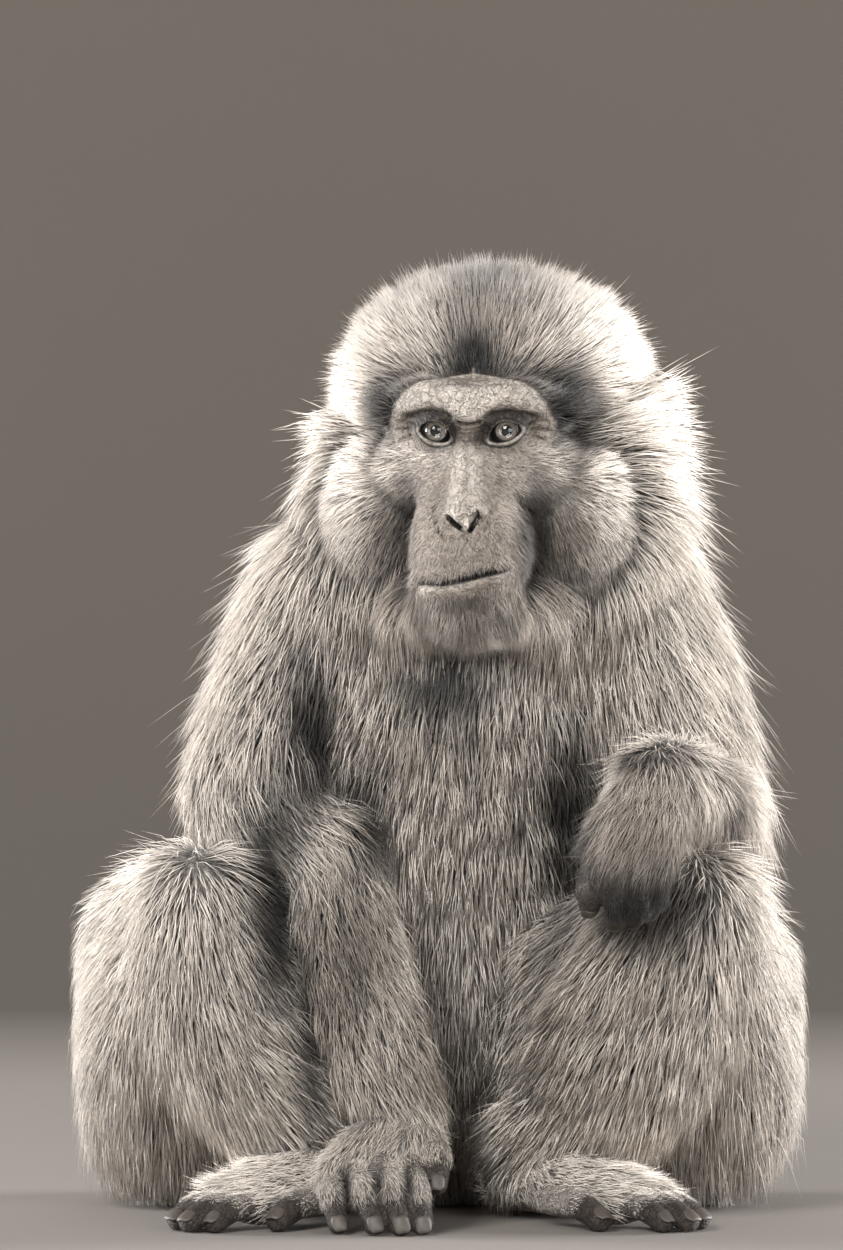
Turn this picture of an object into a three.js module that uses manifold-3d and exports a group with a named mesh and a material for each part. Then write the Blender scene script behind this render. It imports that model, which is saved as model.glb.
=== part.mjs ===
// A seated Japanese macaque, life size, as a still museum model.
// Millimetres, +Z up. The animal faces -Y, so its own right side is -X. It sits on z = 0.
// Every solid reaches out to the tips of the coat. The body is made of lofts round named joints,
// and each named sub-part is cut back from the ones placed before it, so that none overlap.
import * as THREE from 'three';
import { mergeVertices } from 'three/addons/utils/BufferGeometryUtils.js';
import Module from 'manifold-3d';

const wasm = await Module();
wasm.setup();

// ---------------------------------------------------------------- driving sizes
const GAP = 0.4; // clearance between neighbouring sub-parts
const BLOCK = 1200; // size of the blocks that trim a solid along a plane
const rad = THREE.MathUtils.degToRad;

const HEAD_CENTRE = [23, 5, 402]; // between the ears, level with the eyes
const HEAD_YAW = rad(-8.5); // the face looks a little to the animal's right
const EYE_RADIUS = 9.6;
const EYE_PLACE = [18.3, -50.5, 0]; // the left eyeball's centre, from the head's centre

// Thin cuts part the head from the neck, and the neck from the trunk: a point and a tilt.
const HEAD_CUT = { point: [0, -20, 309], tilt: rad(21) };
const NECK_CUT = { point: [0, 0, 266], tilt: rad(8) };

const COLOURS = {
  coat: { color: 0xada398, roughness: 0.95 },
  skin: { color: 0xb9aca0, roughness: 0.7 },
  eye: { color: 0x4a4036, roughness: 0.12 },
};

// ---------------------------------------------------------------- geometry helpers

// A closed mesh's geometry as a manifold-3d solid.
function solidOf(geometry) {
  const bare = geometry.clone();
  bare.deleteAttribute('normal');
  bare.deleteAttribute('uv');
  const merged = mergeVertices(bare, 1e-4);
  return new wasm.Manifold(
    new wasm.Mesh({
      numProp: 3,
      vertProperties: new Float32Array(merged.attributes.position.array),
      triVerts: new Uint32Array(merged.index.array),
    }),
  );
}

// A manifold-3d solid as a three.js geometry with flat faces.
function geometryOf(solid) {
  const mesh = solid.getMesh();
  const geometry = new THREE.BufferGeometry();
  const corners = new Float32Array(mesh.numVert * 3);
  for (let i = 0; i < mesh.numVert; i++) {
    corners.set(mesh.vertProperties.subarray(i * mesh.numProp, i * mesh.numProp + 3), i * 3);
  }
  geometry.setAttribute('position', new THREE.BufferAttribute(corners, 3));
  geometry.setIndex(new THREE.BufferAttribute(new Uint32Array(mesh.triVerts), 1));
  const flat = geometry.toNonIndexed();
  flat.computeVertexNormals();
  return flat;
}

const joined = (solids) => solids.reduce((whole, solid) => whole.add(solid));

// The largest closed body of a solid: cutting can leave small chips behind.
function largestBody(solid) {
  return solid.decompose().reduce((best, body) => (body.volume() > best.volume() ? body : best));
}

// A smooth value between evenly spaced control values, by the Catmull-Rom rule.
function smoothValue(values, t) {
  const last = values.length - 1;
  const at = Math.min(t * last, last - 1e-9);
  const i = Math.floor(at);
  const u = at - i;
  const [a, b, c, d] = [i - 1, i, i + 1, i + 2].map(
    (k) => values[Math.min(Math.max(k, 0), last)],
  );
  return (
    b + 0.5 * u * (c - a + u * (2 * a - 5 * b + 4 * c - d + u * (3 * (b - c) + d - a)))
  );
}

// A closed tube with round ends through stations [x, y, z, wide, deep]. Each ring is an ellipse:
// wide is its half-width along the axis nearest to `side`, and deep its half-width across that.
// A `square` above 2 fills out the ring's corners, as on a coat that is pressed flat.
function loft(stations, options = {}) {
  const { sides = 12, rings = 5, caps = 2, grow = 0, side = [1, 0, 0], square = 2 } = options;
  const column = (k) => stations.map((s) => s[k]);
  const deeps = stations.map((s) => (s.length > 4 ? s[4] : s[3]));
  const centre = (t) =>
    new THREE.Vector3(
      smoothValue(column(0), t),
      smoothValue(column(1), t),
      smoothValue(column(2), t),
    );
  const sideways = new THREE.Vector3(...side);
  const points = [];
  const addRing = (middle, along, wide, deep) => {
    const across = sideways.clone().addScaledVector(along, -sideways.dot(along)).normalize();
    const over = new THREE.Vector3().crossVectors(along, across);
    for (let k = 0; k < sides; k++) {
      const [c, n] = [Math.cos((2 * Math.PI * k) / sides), Math.sin((2 * Math.PI * k) / sides)];
      const fill = (Math.abs(c) ** square + Math.abs(n) ** square) ** (-1 / square);
      points.push(
        middle
          .clone()
          .addScaledVector(across, fill * wide * c)
          .addScaledVector(over, fill * deep * n),
      );
    }
  };
  const direction = (t) =>
    centre(Math.min(t + 0.01, 1))
      .sub(centre(Math.max(t - 0.01, 0)))
      .normalize();
  const addCap = (t, outward) => {
    const along = direction(t);
    const [wide, deep] = [smoothValue(column(3), t) + grow, smoothValue(deeps, t) + grow];
    const reach = Math.min(wide, deep);
    const steps = Array.from({ length: caps }, (_, k) => k + 1);
    for (const step of outward < 0 ? steps.reverse() : steps) {
      const angle = (step * Math.PI) / 2 / (caps + 1);
      const middle = centre(t).addScaledVector(along, outward * reach * Math.sin(angle));
      addRing(middle, along, wide * Math.cos(angle), deep * Math.cos(angle));
    }
    return centre(t).addScaledVector(along, outward * reach);
  };

  const startPole = addCap(0, -1);
  for (let r = 0; r < rings; r++) {
    const t = r / (rings - 1);
    const [wide, deep] = [smoothValue(column(3), t), smoothValue(deeps, t)];
    addRing(centre(t), direction(t), wide + grow, deep + grow);
  }
  const endPole = addCap(1, 1);

  const rows = points.length / sides;
  const index = [];
  for (let r = 0; r < rows - 1; r++) {
    for (let k = 0; k < sides; k++) {
      const [a, b] = [r * sides + k, r * sides + ((k + 1) % sides)];
      index.push(a, b, b + sides, a, b + sides, a + sides);
    }
  }
  const [start, end] = [points.length, points.length + 1];
  points.push(startPole, endPole);
  for (let k = 0; k < sides; k++) {
    const next = (k + 1) % sides;
    index.push(start, next, k);
    index.push(end, (rows - 1) * sides + k, (rows - 1) * sides + next);
  }
  const geometry = new THREE.BufferGeometry().setFromPoints(points);
  geometry.setIndex(index);
  return solidOf(geometry);
}

// An ellipsoid with half-sizes [x, y, z], turned by `turn` radians about X.
function ellipsoid(centre, halves, { grow = 0, across = 16, down = 10, turn = 0 } = {}) {
  const geometry = new THREE.SphereGeometry(1, across, down);
  geometry.rotateX(Math.PI / 2);
  geometry.scale(...halves.map((h) => h + grow));
  geometry.rotateX(turn);
  geometry.translate(...centre);
  return solidOf(geometry);
}

// A block that fills the space above or below a plane through `point`, tilted about X.
function halfSpace({ point, tilt }, above, clearance = GAP / 2) {
  const block = new THREE.BoxGeometry(BLOCK, BLOCK, BLOCK);
  block.translate(0, 0, (above ? 1 : -1) * (BLOCK / 2 + clearance));
  block.rotateX(tilt);
  block.translate(...point);
  return solidOf(block);
}

// ---------------------------------------------------------------- the head

const headMatrix = new THREE.Matrix4()
  .makeRotationZ(HEAD_YAW)
  .setPosition(new THREE.Vector3(...HEAD_CENTRE));

// Moves a solid made round the head's centre into the animal's frame.
function onHead(solid) {
  return solid.transform(headMatrix.elements);
}

function eye(side, grow) {
  const [x, y, z] = EYE_PLACE;
  const halves = [EYE_RADIUS, EYE_RADIUS, EYE_RADIUS];
  return onHead(ellipsoid([side * x, y, z], halves, { grow, across: 10, down: 6 }));
}

// The ear lies close to the head, and only its outer face shows through the coat.
function ear(side, grow) {
  const shell = loft(
    [
      [side * 72, 24, -26, 7, 6],
      [side * 81, 30, -16, 13, 6],
      [side * 85, 33, -2, 13, 4.5],
      [side * 85, 34, 7, 7, 3.5],
    ],
    { sides: 8, rings: 5, caps: 1, grow, side: [0, 1, 0] },
  );
  return onHead(shell);
}

// A socket for each eye, a slit for each nostril, and the line of the closed mouth.
function faceOpenings() {
  const [x, y, z] = EYE_PLACE;
  const openings = [-1, 1].flatMap((s) => [
    ellipsoid([s * x, y - 12, z], [11.5, 10, 7.5], { across: 10, down: 6 }),
    loft(
      [
        [s * 4, -93, -50, 1.8, 3],
        [s * 7, -94, -46, 1.6, 2.6],
      ],
      { sides: 6, rings: 2, caps: 1 },
    ),
  ]);
  const mouth = loft(
    [
      [-29, -78, -78, 1.5],
      [-16, -93, -78, 2],
      [0, -98, -76.5, 2],
      [16, -93, -74, 2],
      [29, -78, -72, 1.5],
    ],
    { sides: 4, rings: 7, caps: 1, side: [0, 0, 1] },
  );
  return [...openings, mouth];
}

// The fur of crown, hood, cheeks and beard, and the nearly bare face with its muzzle.
function head() {
  const crown = ellipsoid([0, 14, 29], [80, 70, 58], { across: 18, down: 10 });
  const hood = loft(
    [
      [2, 0, -62, 78, 50],
      [7, 5, -40, 94, 58],
      [7, 13, -14, 92, 60],
      [0, 15, 18, 81, 61],
    ],
    { sides: 18, rings: 4 },
  );
  const small = { across: 12, down: 7 };
  const cheeks = [-1, 1].map((s) => ellipsoid([s * 53, -24, -44], [29, 27, 34], small));
  const beard = ellipsoid([0, -46, -84], [42, 42, 29], small);
  const plate = ellipsoid([0, -30, 2], [45, 28, 32], small);
  const brow = loft(
    [
      [-39, -42, 6, 9, 9],
      [-22, -53, 15, 12, 10],
      [0, -56, 15, 11, 10],
      [22, -53, 15, 12, 10],
      [39, -42, 6, 9, 9],
    ],
    { sides: 8, rings: 6, caps: 1, side: [0, 1, 0] },
  );
  const bridge = loft(
    [
      [0, -52, 6, 11, 10],
      [0, -58, -12, 14, 12],
      [0, -72, -30, 17, 13],
      [0, -83, -42, 16, 11],
    ],
    { sides: 8, rings: 4 },
  );
  const muzzle = loft(
    [
      [0, -38, -24, 34, 22],
      [0, -55, -44, 35, 26],
      [0, -67, -60, 34, 28],
      [0, -76, -69, 30, 21],
    ],
    { rings: 4, square: 2.3 },
  );
  const jaw = loft(
    [
      [0, -46, -86, 30, 20],
      [0, -64, -88, 29, 18],
      [0, -77, -85, 23, 13],
    ],
    { sides: 10, rings: 3 },
  );
  const whole = joined([crown, hood, ...cheeks, beard, plate, brow, bridge, muzzle, jaw]);
  return onHead(faceOpenings().reduce((solid, opening) => solid.subtract(opening), whole));
}

// ---------------------------------------------------------------- hands and feet

// Fingers run from knuckle to tip through one bent joint. The last number is the half-thickness.
const RIGHT_HAND = {
  palm: [
    [-21, -104, 52, 20, 17],
    [-27, -120, 41, 26, 15],
    [-33, -137, 29, 30, 12],
  ],
  fingers: {
    little: [[-56, -138, 25], [-56, -158, 19], [-52, -168, 5.2], 6.8],
    ring: [[-43, -142, 30], [-40, -163, 23], [-34, -174, 5.5], 7.2],
    middle: [[-30, -144, 32], [-26, -166, 25], [-21, -177, 5.6], 7.4],
    index: [[-16, -142, 32], [-13, -163, 24], [-10, -173, 5.5], 7.2],
    thumb: [[-6, -118, 44], [-2, -138, 37], [-3, -150, 24], 7.2],
  },
};
const LEFT_HAND = {
  palm: [
    [107, -126, 226, 21, 17],
    [101, -142, 208, 26, 15],
    [93, -149, 190, 26, 13],
  ],
  fingers: {
    little: [[110, -146, 187], [107, -146, 168], [104, -133, 160], 6.6],
    ring: [[101, -151, 184], [98, -150, 163], [96, -134, 157], 7.2],
    middle: [[90, -153, 184], [88, -152, 162], [87, -136, 156], 7.4],
    index: [[80, -151, 187], [76, -152, 172], [74, -143, 164], 7],
    thumb: [[84, -134, 190], [76, -140, 180], [72, -147, 171], 7],
  },
};

// Feet lie flat: the heel's place on the floor, and how far the toes turn out.
const FEET = {
  right: { side: -1, heel: [-42, -46], splay: rad(38) },
  left: { side: 1, heel: [35, -46], splay: rad(40) },
};
const TIP_SHARE = 0.84; // a fingertip's or toe tip's share of the digit's half-thickness
const TIP_SINK = 0.6; // how far a tip is pressed flat on the floor
// Each toe as [across the foot towards the big toe, start, length, half-thickness].
const TOES = {
  little: [-19, 88, 34, 6.6],
  fourth: [-9, 96, 38, 7.2],
  third: [1, 99, 40, 7.4],
  second: [11, 97, 36, 7.2],
  big: [24, 62, 46, 8],
};

function finger([knuckle, bend, tip, radius], grow) {
  const station = (point, share) => [...point, radius * share];
  const between = knuckle.map((v, k) => (v + bend[k]) / 2);
  const thick = [station(knuckle, 1.15), station(between, 1.05)];
  return loft([...thick, station(bend, 1), station(tip, TIP_SHARE)], { sides: 6, rings: 4, caps: 1, grow });
}

function hand(spec, grow) {
  const palm = loft(spec.palm, { sides: 10, rings: 3, caps: 1, grow });
  return joined([palm, ...Object.values(spec.fingers).map((f) => finger(f, grow))]);
}

// A point of a foot from its place along the foot, across it towards the big toe, and its height.
function onFoot({ side, heel, splay }, along, across, height) {
  const forward = [side * Math.sin(splay), -Math.cos(splay)];
  const medial = [-side * Math.cos(splay), -Math.sin(splay)];
  return [
    heel[0] + forward[0] * along + medial[0] * across,
    heel[1] + forward[1] * along + medial[1] * across,
    height,
  ];
}

function toePoints(spec, name) {
  const [across, start, length, radius] = TOES[name];
  const lean = name === 'big' ? 9 : across * 0.14;
  return [
    onFoot(spec, start, across, radius + 5),
    onFoot(spec, start + length * 0.6, across + lean * 0.6, radius + 4),
    onFoot(spec, start + length, across + lean, radius * TIP_SHARE - TIP_SINK),
    radius,
  ];
}

function foot(spec, grow) {
  const sole = loft(
    [
      [...onFoot(spec, 0, 0, 15), 16, 16],
      [...onFoot(spec, 30, 1, 24), 21, 24],
      [...onFoot(spec, 62, 2, 19), 25, 19],
      [...onFoot(spec, 92, 0, 13), 26, 13],
    ],
    { sides: 10, rings: 4, caps: 1, grow },
  );
  return joined([sole, ...Object.keys(TOES).map((name) => finger(toePoints(spec, name), grow))]);
}

// ---------------------------------------------------------------- limbs, trunk and tail

const LIMBS = {
  forearm_right: [
    [-58, -38, 188, 28],
    [-52, -56, 152, 31],
    [-43, -73, 116, 31],
    [-32, -90, 82, 28],
    [-22, -100, 60, 23, 19],
  ],
  forearm_left: [
    [137, 18, 190, 30],
    [133, -26, 203, 31],
    [125, -70, 216, 28],
    [115, -106, 225, 24],
    [109, -122, 226, 21],
  ],
  shank_right: [
    [-119, -92, 176, 36, 34],
    [-116, -92, 140, 45, 40],
    [-108, -86, 100, 46, 40],
    [-84, -76, 64, 38, 32],
    [-56, -66, 44, 28, 26],
  ],
  shank_left: [
    [124, -90, 164, 38, 34],
    [112, -92, 132, 50, 42],
    [96, -88, 96, 56, 42],
    [74, -78, 62, 45, 34],
    [50, -68, 42, 29, 27],
  ],
  upper_arm_right: [
    [-56, 30, 322, 46],
    [-71, 24, 286, 46, 48],
    [-88, 6, 248, 41, 44],
    [-92, -14, 214, 41, 38],
    [-68, -34, 188, 30, 30],
  ],
  upper_arm_left: [
    [90, 32, 322, 47],
    [105, 28, 286, 47, 48],
    [117, 24, 248, 46, 46],
    [127, 22, 216, 43, 42],
    [136, 20, 192, 35, 35],
  ],
  thigh_right: [
    [-88, 66, 68, 90, 72],
    [-104, 28, 78, 82, 80],
    [-116, -18, 106, 68, 72],
    [-116, -58, 146, 48, 50],
    [-119, -80, 170, 36, 36],
  ],
  thigh_left: [
    [88, 66, 68, 90, 72],
    [100, 28, 78, 84, 80],
    [112, -18, 100, 66, 70],
    [119, -58, 136, 49, 50],
    [124, -80, 158, 36, 36],
  ],
  tail: [
    [0, 130, 62, 24],
    [-3, 146, 44, 20],
    [-7, 158, 26, 16],
    [-10, 166, 11, 12],
  ],
};
const LIMB_DETAIL = {
  thigh_right: { sides: 14, square: 4 },
  thigh_left: { sides: 14, square: 4 },
  tail: { sides: 10, rings: 5 },
};

const limb = (name) => (grow) => loft(LIMBS[name], { ...LIMB_DETAIL[name], grow });

// From the haunches up through belly, chest and shoulders to the mane that the head sits in.
const TORSO = [
  [0, 74, 52, 100, 80],
  [0, 72, 88, 104, 90],
  [2, 67, 128, 102, 94],
  [5, 60, 170, 99, 93],
  [8, 52, 212, 98, 90],
  [12, 43, 250, 97, 84],
  [16, 35, 286, 97, 77],
  [20, 28, 318, 102, 76],
  [23, 24, 348, 102, 72],
  [26, 20, 376, 86, 60],
];

// ---------------------------------------------------------------- placing the sub-parts

const underFloor = halfSpace({ point: [0, 0, 0], tilt: 0 }, false, 0);

const macaque = new THREE.Group();
macaque.name = 'macaque';
const cleared = []; // every placed sub-part with the clearance round it

// Trims a solid at the floor, cuts away what the earlier sub-parts fill and adds its mesh.
function place(name, material, solid, clearance) {
  const trimmed = [underFloor, ...cleared].reduce((rest, other) => rest.subtract(other), solid);
  const mesh = new THREE.Mesh(
    geometryOf(largestBody(trimmed)),
    new THREE.MeshStandardMaterial(COLOURS[material]),
  );
  mesh.name = name;
  macaque.add(mesh);
  if (clearance) {
    cleared.push(clearance);
  }
}

const grown = (build) => [build(0), build(GAP)];
const SIDES = { right: -1, left: 1 };
const HANDS = { right: RIGHT_HAND, left: LEFT_HAND };

for (const [side, sign] of Object.entries(SIDES)) {
  place(`eye_${side}`, 'eye', ...grown((grow) => eye(sign, grow)));
  place(`ear_${side}`, 'skin', ...grown((grow) => ear(sign, grow)));
  place(`hand_${side}`, 'coat', ...grown((grow) => hand(HANDS[side], grow)));
  place(`foot_${side}`, 'coat', ...grown((grow) => foot(FEET[side], grow)));
}
for (const part of ['forearm', 'shank', 'upper_arm', 'thigh']) {
  for (const side of Object.keys(SIDES)) {
    place(`${part}_${side}`, 'coat', ...grown(limb(`${part}_${side}`)));
  }
}
place('tail', 'coat', ...grown(limb('tail')));

const core = head().add(loft(TORSO, { sides: 16, rings: 8 }));
place('head', 'coat', core.intersect(halfSpace(HEAD_CUT, true)));
const belowHead = core.intersect(halfSpace(HEAD_CUT, false));
place('neck', 'coat', belowHead.intersect(halfSpace(NECK_CUT, true)));
place('trunk', 'coat', belowHead.intersect(halfSpace(NECK_CUT, false)));

// The origin is the middle of the base.
const box = new THREE.Box3().setFromObject(macaque);
macaque.position.set(-(box.min.x + box.max.x) / 2, -(box.min.y + box.max.y) / 2, -box.min.z);

export default macaque;
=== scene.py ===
"""A Japanese macaque, sitting: its skin, eyes, nails and coat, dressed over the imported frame.

Lengths are millimetres in the animal's own frame until a mesh is made, which is in metres in the
frame's row coordinates. The animal faces -Y, and its own right side is -X.
"""

import logging
import math
from dataclasses import dataclass, field
from enum import Enum
from typing import Callable, Iterator, Sequence

import bmesh
import bpy
import numpy as np
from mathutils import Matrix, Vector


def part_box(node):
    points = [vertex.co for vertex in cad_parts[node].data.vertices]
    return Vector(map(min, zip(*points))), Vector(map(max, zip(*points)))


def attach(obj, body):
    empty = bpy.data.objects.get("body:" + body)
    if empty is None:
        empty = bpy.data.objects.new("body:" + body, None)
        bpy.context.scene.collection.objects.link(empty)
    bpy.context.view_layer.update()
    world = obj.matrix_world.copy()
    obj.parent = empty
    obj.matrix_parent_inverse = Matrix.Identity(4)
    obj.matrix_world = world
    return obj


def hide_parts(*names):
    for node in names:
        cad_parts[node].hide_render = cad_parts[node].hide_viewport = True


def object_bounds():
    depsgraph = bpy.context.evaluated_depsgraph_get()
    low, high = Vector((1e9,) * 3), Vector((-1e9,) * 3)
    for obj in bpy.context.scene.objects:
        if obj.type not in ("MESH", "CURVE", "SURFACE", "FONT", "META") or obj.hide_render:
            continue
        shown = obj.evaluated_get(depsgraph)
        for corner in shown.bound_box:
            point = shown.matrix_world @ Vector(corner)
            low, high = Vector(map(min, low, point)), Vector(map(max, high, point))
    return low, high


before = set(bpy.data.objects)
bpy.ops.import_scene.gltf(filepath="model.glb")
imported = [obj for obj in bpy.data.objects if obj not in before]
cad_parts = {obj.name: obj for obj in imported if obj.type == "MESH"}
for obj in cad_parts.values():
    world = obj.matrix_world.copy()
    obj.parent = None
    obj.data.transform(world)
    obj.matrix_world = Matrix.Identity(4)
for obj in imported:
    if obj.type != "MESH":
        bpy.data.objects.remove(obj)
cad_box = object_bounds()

log = logging.getLogger("macaque")

MM = 0.001  # metres in a millimetre
FAR = 60.0  # distances beyond this many millimetres don't matter
RING_STEP = 0.16  # between a tube's rings, as a share of its half-width
SEED = 71
PALEST = 0.84  # the most that hair reflects
DOWN = np.array((0.0, 0.0, -1.0))
Array = np.ndarray
Station = tuple[float, ...]
Point = tuple[float, float, float]
Shade = tuple[int, int, int]  # screen values from 0 to 255
Object, Mesh, Material = bpy.types.Object, bpy.types.Mesh, bpy.types.Material
Tree, Node, Socket = bpy.types.NodeTree, bpy.types.Node, bpy.types.NodeSocket


class Side(Enum):
    """The animal's own sides, by the sign of X."""

    RIGHT = -1
    LEFT = 1

    @property
    def word(self) -> str:
        """The side's name as it stands in node names."""
        return self.name.lower()


# ---- small helpers


def unit(vectors: Array) -> Array:
    """Vectors scaled to length one, along the last axis."""
    size = np.linalg.norm(vectors, axis=-1, keepdims=True)
    return vectors / np.maximum(size, 1e-9)


def blend_min(a: Array, b: Array, width: float) -> Array:
    """The lower of two distances, rounded off where they are within `width` of each other."""
    h = np.maximum(width - np.abs(a - b), 0.0) / width
    return np.minimum(a, b) - h * h * width / 4


def fade(value: Array, start: float, end: float) -> Array:
    """0 at `start`, 1 at `end` and a smooth step between them; `end` may be the lower one."""
    t = np.clip((value - start) / (end - start), 0.0, 1.0)
    return t * t * (3 - 2 * t)


def hump(value: Array, middle: float, width: float) -> Array:
    """1 at `middle`, falling to 0 on both sides."""
    return np.exp(-(((value - middle) / width) ** 2))


def smooth_line(stations: Sequence[Station], count: int) -> Array:
    """Rows of station values at even steps along a Catmull-Rom line.

    Args:
        stations: The control rows, each as long as the others.
        count: How many rows to give back.

    Returns:
        An array with `count` rows.
    """
    rows = np.array(stations, dtype=float)
    last = len(rows) - 1
    at = np.minimum(np.linspace(0, last, count), last - 1e-9)
    i = np.floor(at).astype(int)
    u = (at - i)[:, None]
    a, b, c, d = (rows[np.clip(i + k, 0, last)] for k in (-1, 0, 1, 2))
    return b + 0.5 * u * (c - a + u * (2 * a - 5 * b + 4 * c - d + u * (3 * (b - c) + d - a)))


def line_offset(x: Array, z: Array, line: Sequence[tuple[float, float]]) -> tuple[Array, Array]:
    """How far points of a plane lie from a polyline.

    Args:
        x: The points' first coordinates.
        z: The points' second coordinates.
        line: The polyline's corners.

    Returns:
        The distance to the line, and the share of the line's length at the nearest point.
    """
    corners = np.array(line, dtype=float)
    steps = np.linalg.norm(np.diff(corners, axis=0), axis=1)
    starts = np.concatenate([[0.0], np.cumsum(steps)])
    best = np.full(x.shape, FAR)
    share = np.zeros(x.shape)
    for k, step in enumerate(steps):
        (ax, az), (bx, bz) = corners[k], corners[k + 1]
        t = np.clip(((x - ax) * (bx - ax) + (z - az) * (bz - az)) / step**2, 0.0, 1.0)
        away = np.hypot(x - ax - t * (bx - ax), z - az - t * (bz - az))
        closer = away < best
        best = np.where(closer, away, best)
        share = np.where(closer, (starts[k] + t * step) / starts[-1], share)
    return best, share


# ---- solid shapes as distances


@dataclass(frozen=True)
class Blob:
    """An ellipsoid.

    `centre` and `halves` are in the frame of whatever holds the blob.
    """

    centre: Point
    halves: Point
    depth: float = 0.0  # the coat's depth, taken off every half-width

    def distance(self, points: Array) -> Array:
        """The distance of each point from the surface, negative inside."""
        halves = np.array(self.halves) - self.depth
        return (np.sqrt((((points - np.array(self.centre)) / halves) ** 2).sum(axis=1)) - 1) * halves.min()


@dataclass(frozen=True)
class Tube:
    """A limb as ellipses swept along a smooth line, with round ends.

    Stations are (x, y, z, wide, deep): wide is the half-width along the axis nearest to `side`.
    """

    stations: tuple[Station, ...]
    depth: float = 0.0
    end_depth: float | None = None
    side: Point = (1.0, 0.0, 0.0)
    square: float = 2.0

    def rings(self) -> dict[str, Array]:
        """The swept ellipses: centres, axes and half-widths inside the coat.

        Returns:
            One row for each ring, by name.
        """
        rows = [s if len(s) > 4 else (*s, s[3]) for s in self.stations]
        length = np.linalg.norm(np.diff(np.array(rows)[:, :3], axis=0), axis=1).sum()
        step = RING_STEP * np.array(rows)[:, 3:].mean()
        count = max(6, int(length / step) + 1)
        line = smooth_line(rows, count)
        centres = line[:, :3]
        along = unit(np.gradient(centres, axis=0))
        across = unit(np.array(self.side) - along * (along @ np.array(self.side))[:, None])
        end = self.depth if self.end_depth is None else self.end_depth
        depth = np.linspace(self.depth, end, count)
        return {
            "centre": centres,
            "along": along,
            "across": across,
            "over": np.cross(along, across),
            "wide": line[:, 3] - depth,
            "deep": line[:, 4] - depth,
        }

    def ring_distances(self, points: Array) -> Iterator[Array]:
        """The distances of the points from each ring's ellipsoid in turn.

        Args:
            points: The places.

        Returns:
            Ring after ring, one distance for each.
        """
        rings = self.rings()
        reach = np.minimum(rings["wide"], rings["deep"])
        points = points.astype(np.float32)
        for k, size in enumerate(reach):
            across, over = rings["across"][k] / rings["wide"][k], rings["over"][k] / rings["deep"][k]
            axes = np.array([across, over, rings["along"][k] / size], dtype=np.float32)
            away = (points - rings["centre"][k].astype(np.float32)) @ axes.T
            if self.square == 2.0:
                share = np.sqrt(np.einsum("ij,ij->i", away, away))
            else:
                share = (np.abs(away) ** self.square).sum(axis=1) ** (1 / self.square)
            yield (share - 1) * np.float32(size)

    def distance(self, points: Array) -> Array:
        """The distance of each point from the surface, negative inside.

        Args:
            points: The places.

        Returns:
            One distance for each.
        """
        rings = self.rings()
        wides = np.maximum(rings["wide"], rings["deep"])[:, None] + FAR / 4
        low = (rings["centre"] - wides).min(axis=0)
        high = (rings["centre"] + wides).max(axis=0)
        near = np.flatnonzero(((points > low) & (points < high)).all(axis=1))
        best = np.full(len(points), FAR, dtype=np.float32)
        here = best[near]
        for dist in self.ring_distances(points[near]):
            np.minimum(here, dist, out=here)
        best[near] = here
        return best

    def directions(self, points: Array) -> Array:
        """The way the tube runs at the ring nearest to each point."""
        return self.rings()["along"][np.argmin(np.stack(list(self.ring_distances(points))), axis=0)]


# ---- how the coat grows


@dataclass(frozen=True)
class Fleece:
    """The coat of one region. Lengths are millimetres, and angles are degrees from the skin."""

    length: float
    lift: float  # at the root
    lay: float  # at the tip
    width: float
    spacing: float
    depth: float  # from the skin to the tips
    stray: float = 10.0  # how far locks turn from the lie of the coat, degrees


class Growth(Enum):
    """The regions that the coat grows on."""

    CROWN = Fleece(17, 60, 30, 0.7, 1.2, 10)
    MANE = Fleece(36, 46, 16, 0.73, 1.65, 17)
    NAPE = Fleece(30, 36, 10, 0.76, 1.75, 11)
    CHEEK = Fleece(11, 42, 20, 0.58, 1.13, 7)
    BEARD = Fleece(30, 42, 14, 0.62, 1.4, 11)
    FACE = Fleece(4.8, 36, 14, 0.4, 0.92, 0.6, 18)
    EAR = Fleece(16, 36, 14, 0.7, 1.3, 1.5)
    TRUNK = Fleece(34, 32, 8, 0.77, 1.96, 12, 8)
    SHOULDER = Fleece(34, 30, 8, 0.77, 1.95, 12.5, 8)
    FOREARM = Fleece(26, 28, 8, 0.72, 1.7, 9, 8)
    THIGH = Fleece(32, 28, 7, 0.8, 2.13, 12, 8)
    SHANK = Fleece(30, 30, 9, 0.75, 1.85, 11, 8)
    TAIL = Fleece(26, 36, 12, 0.95, 1.8, 8)
    HAND = Fleece(17, 30, 9, 0.6, 1.15, 4)
    FINGER = Fleece(8.5, 28, 10, 0.42, 1.05, 1.2)
    FOOT = Fleece(16, 34, 12, 0.74, 1.28, 4, 14)
    TOE = Fleece(6, 30, 14, 0.5, 1.3, 1.2)


# ---- the animal's shape


@dataclass(frozen=True)
class Member:
    """One shape of the body, the part it belongs to, and the coat that grows on it."""

    part: str
    shape: Blob | Tube
    growth: Growth
    join: float = 6.0  # how widely it melts into the part's other shapes
    toward: float = 1.0  # how far the coat lies along the shape (1), or against it (-1)
    hang: Point = (0.0, 0.0, 0.0)  # and how far it hangs another way


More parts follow.
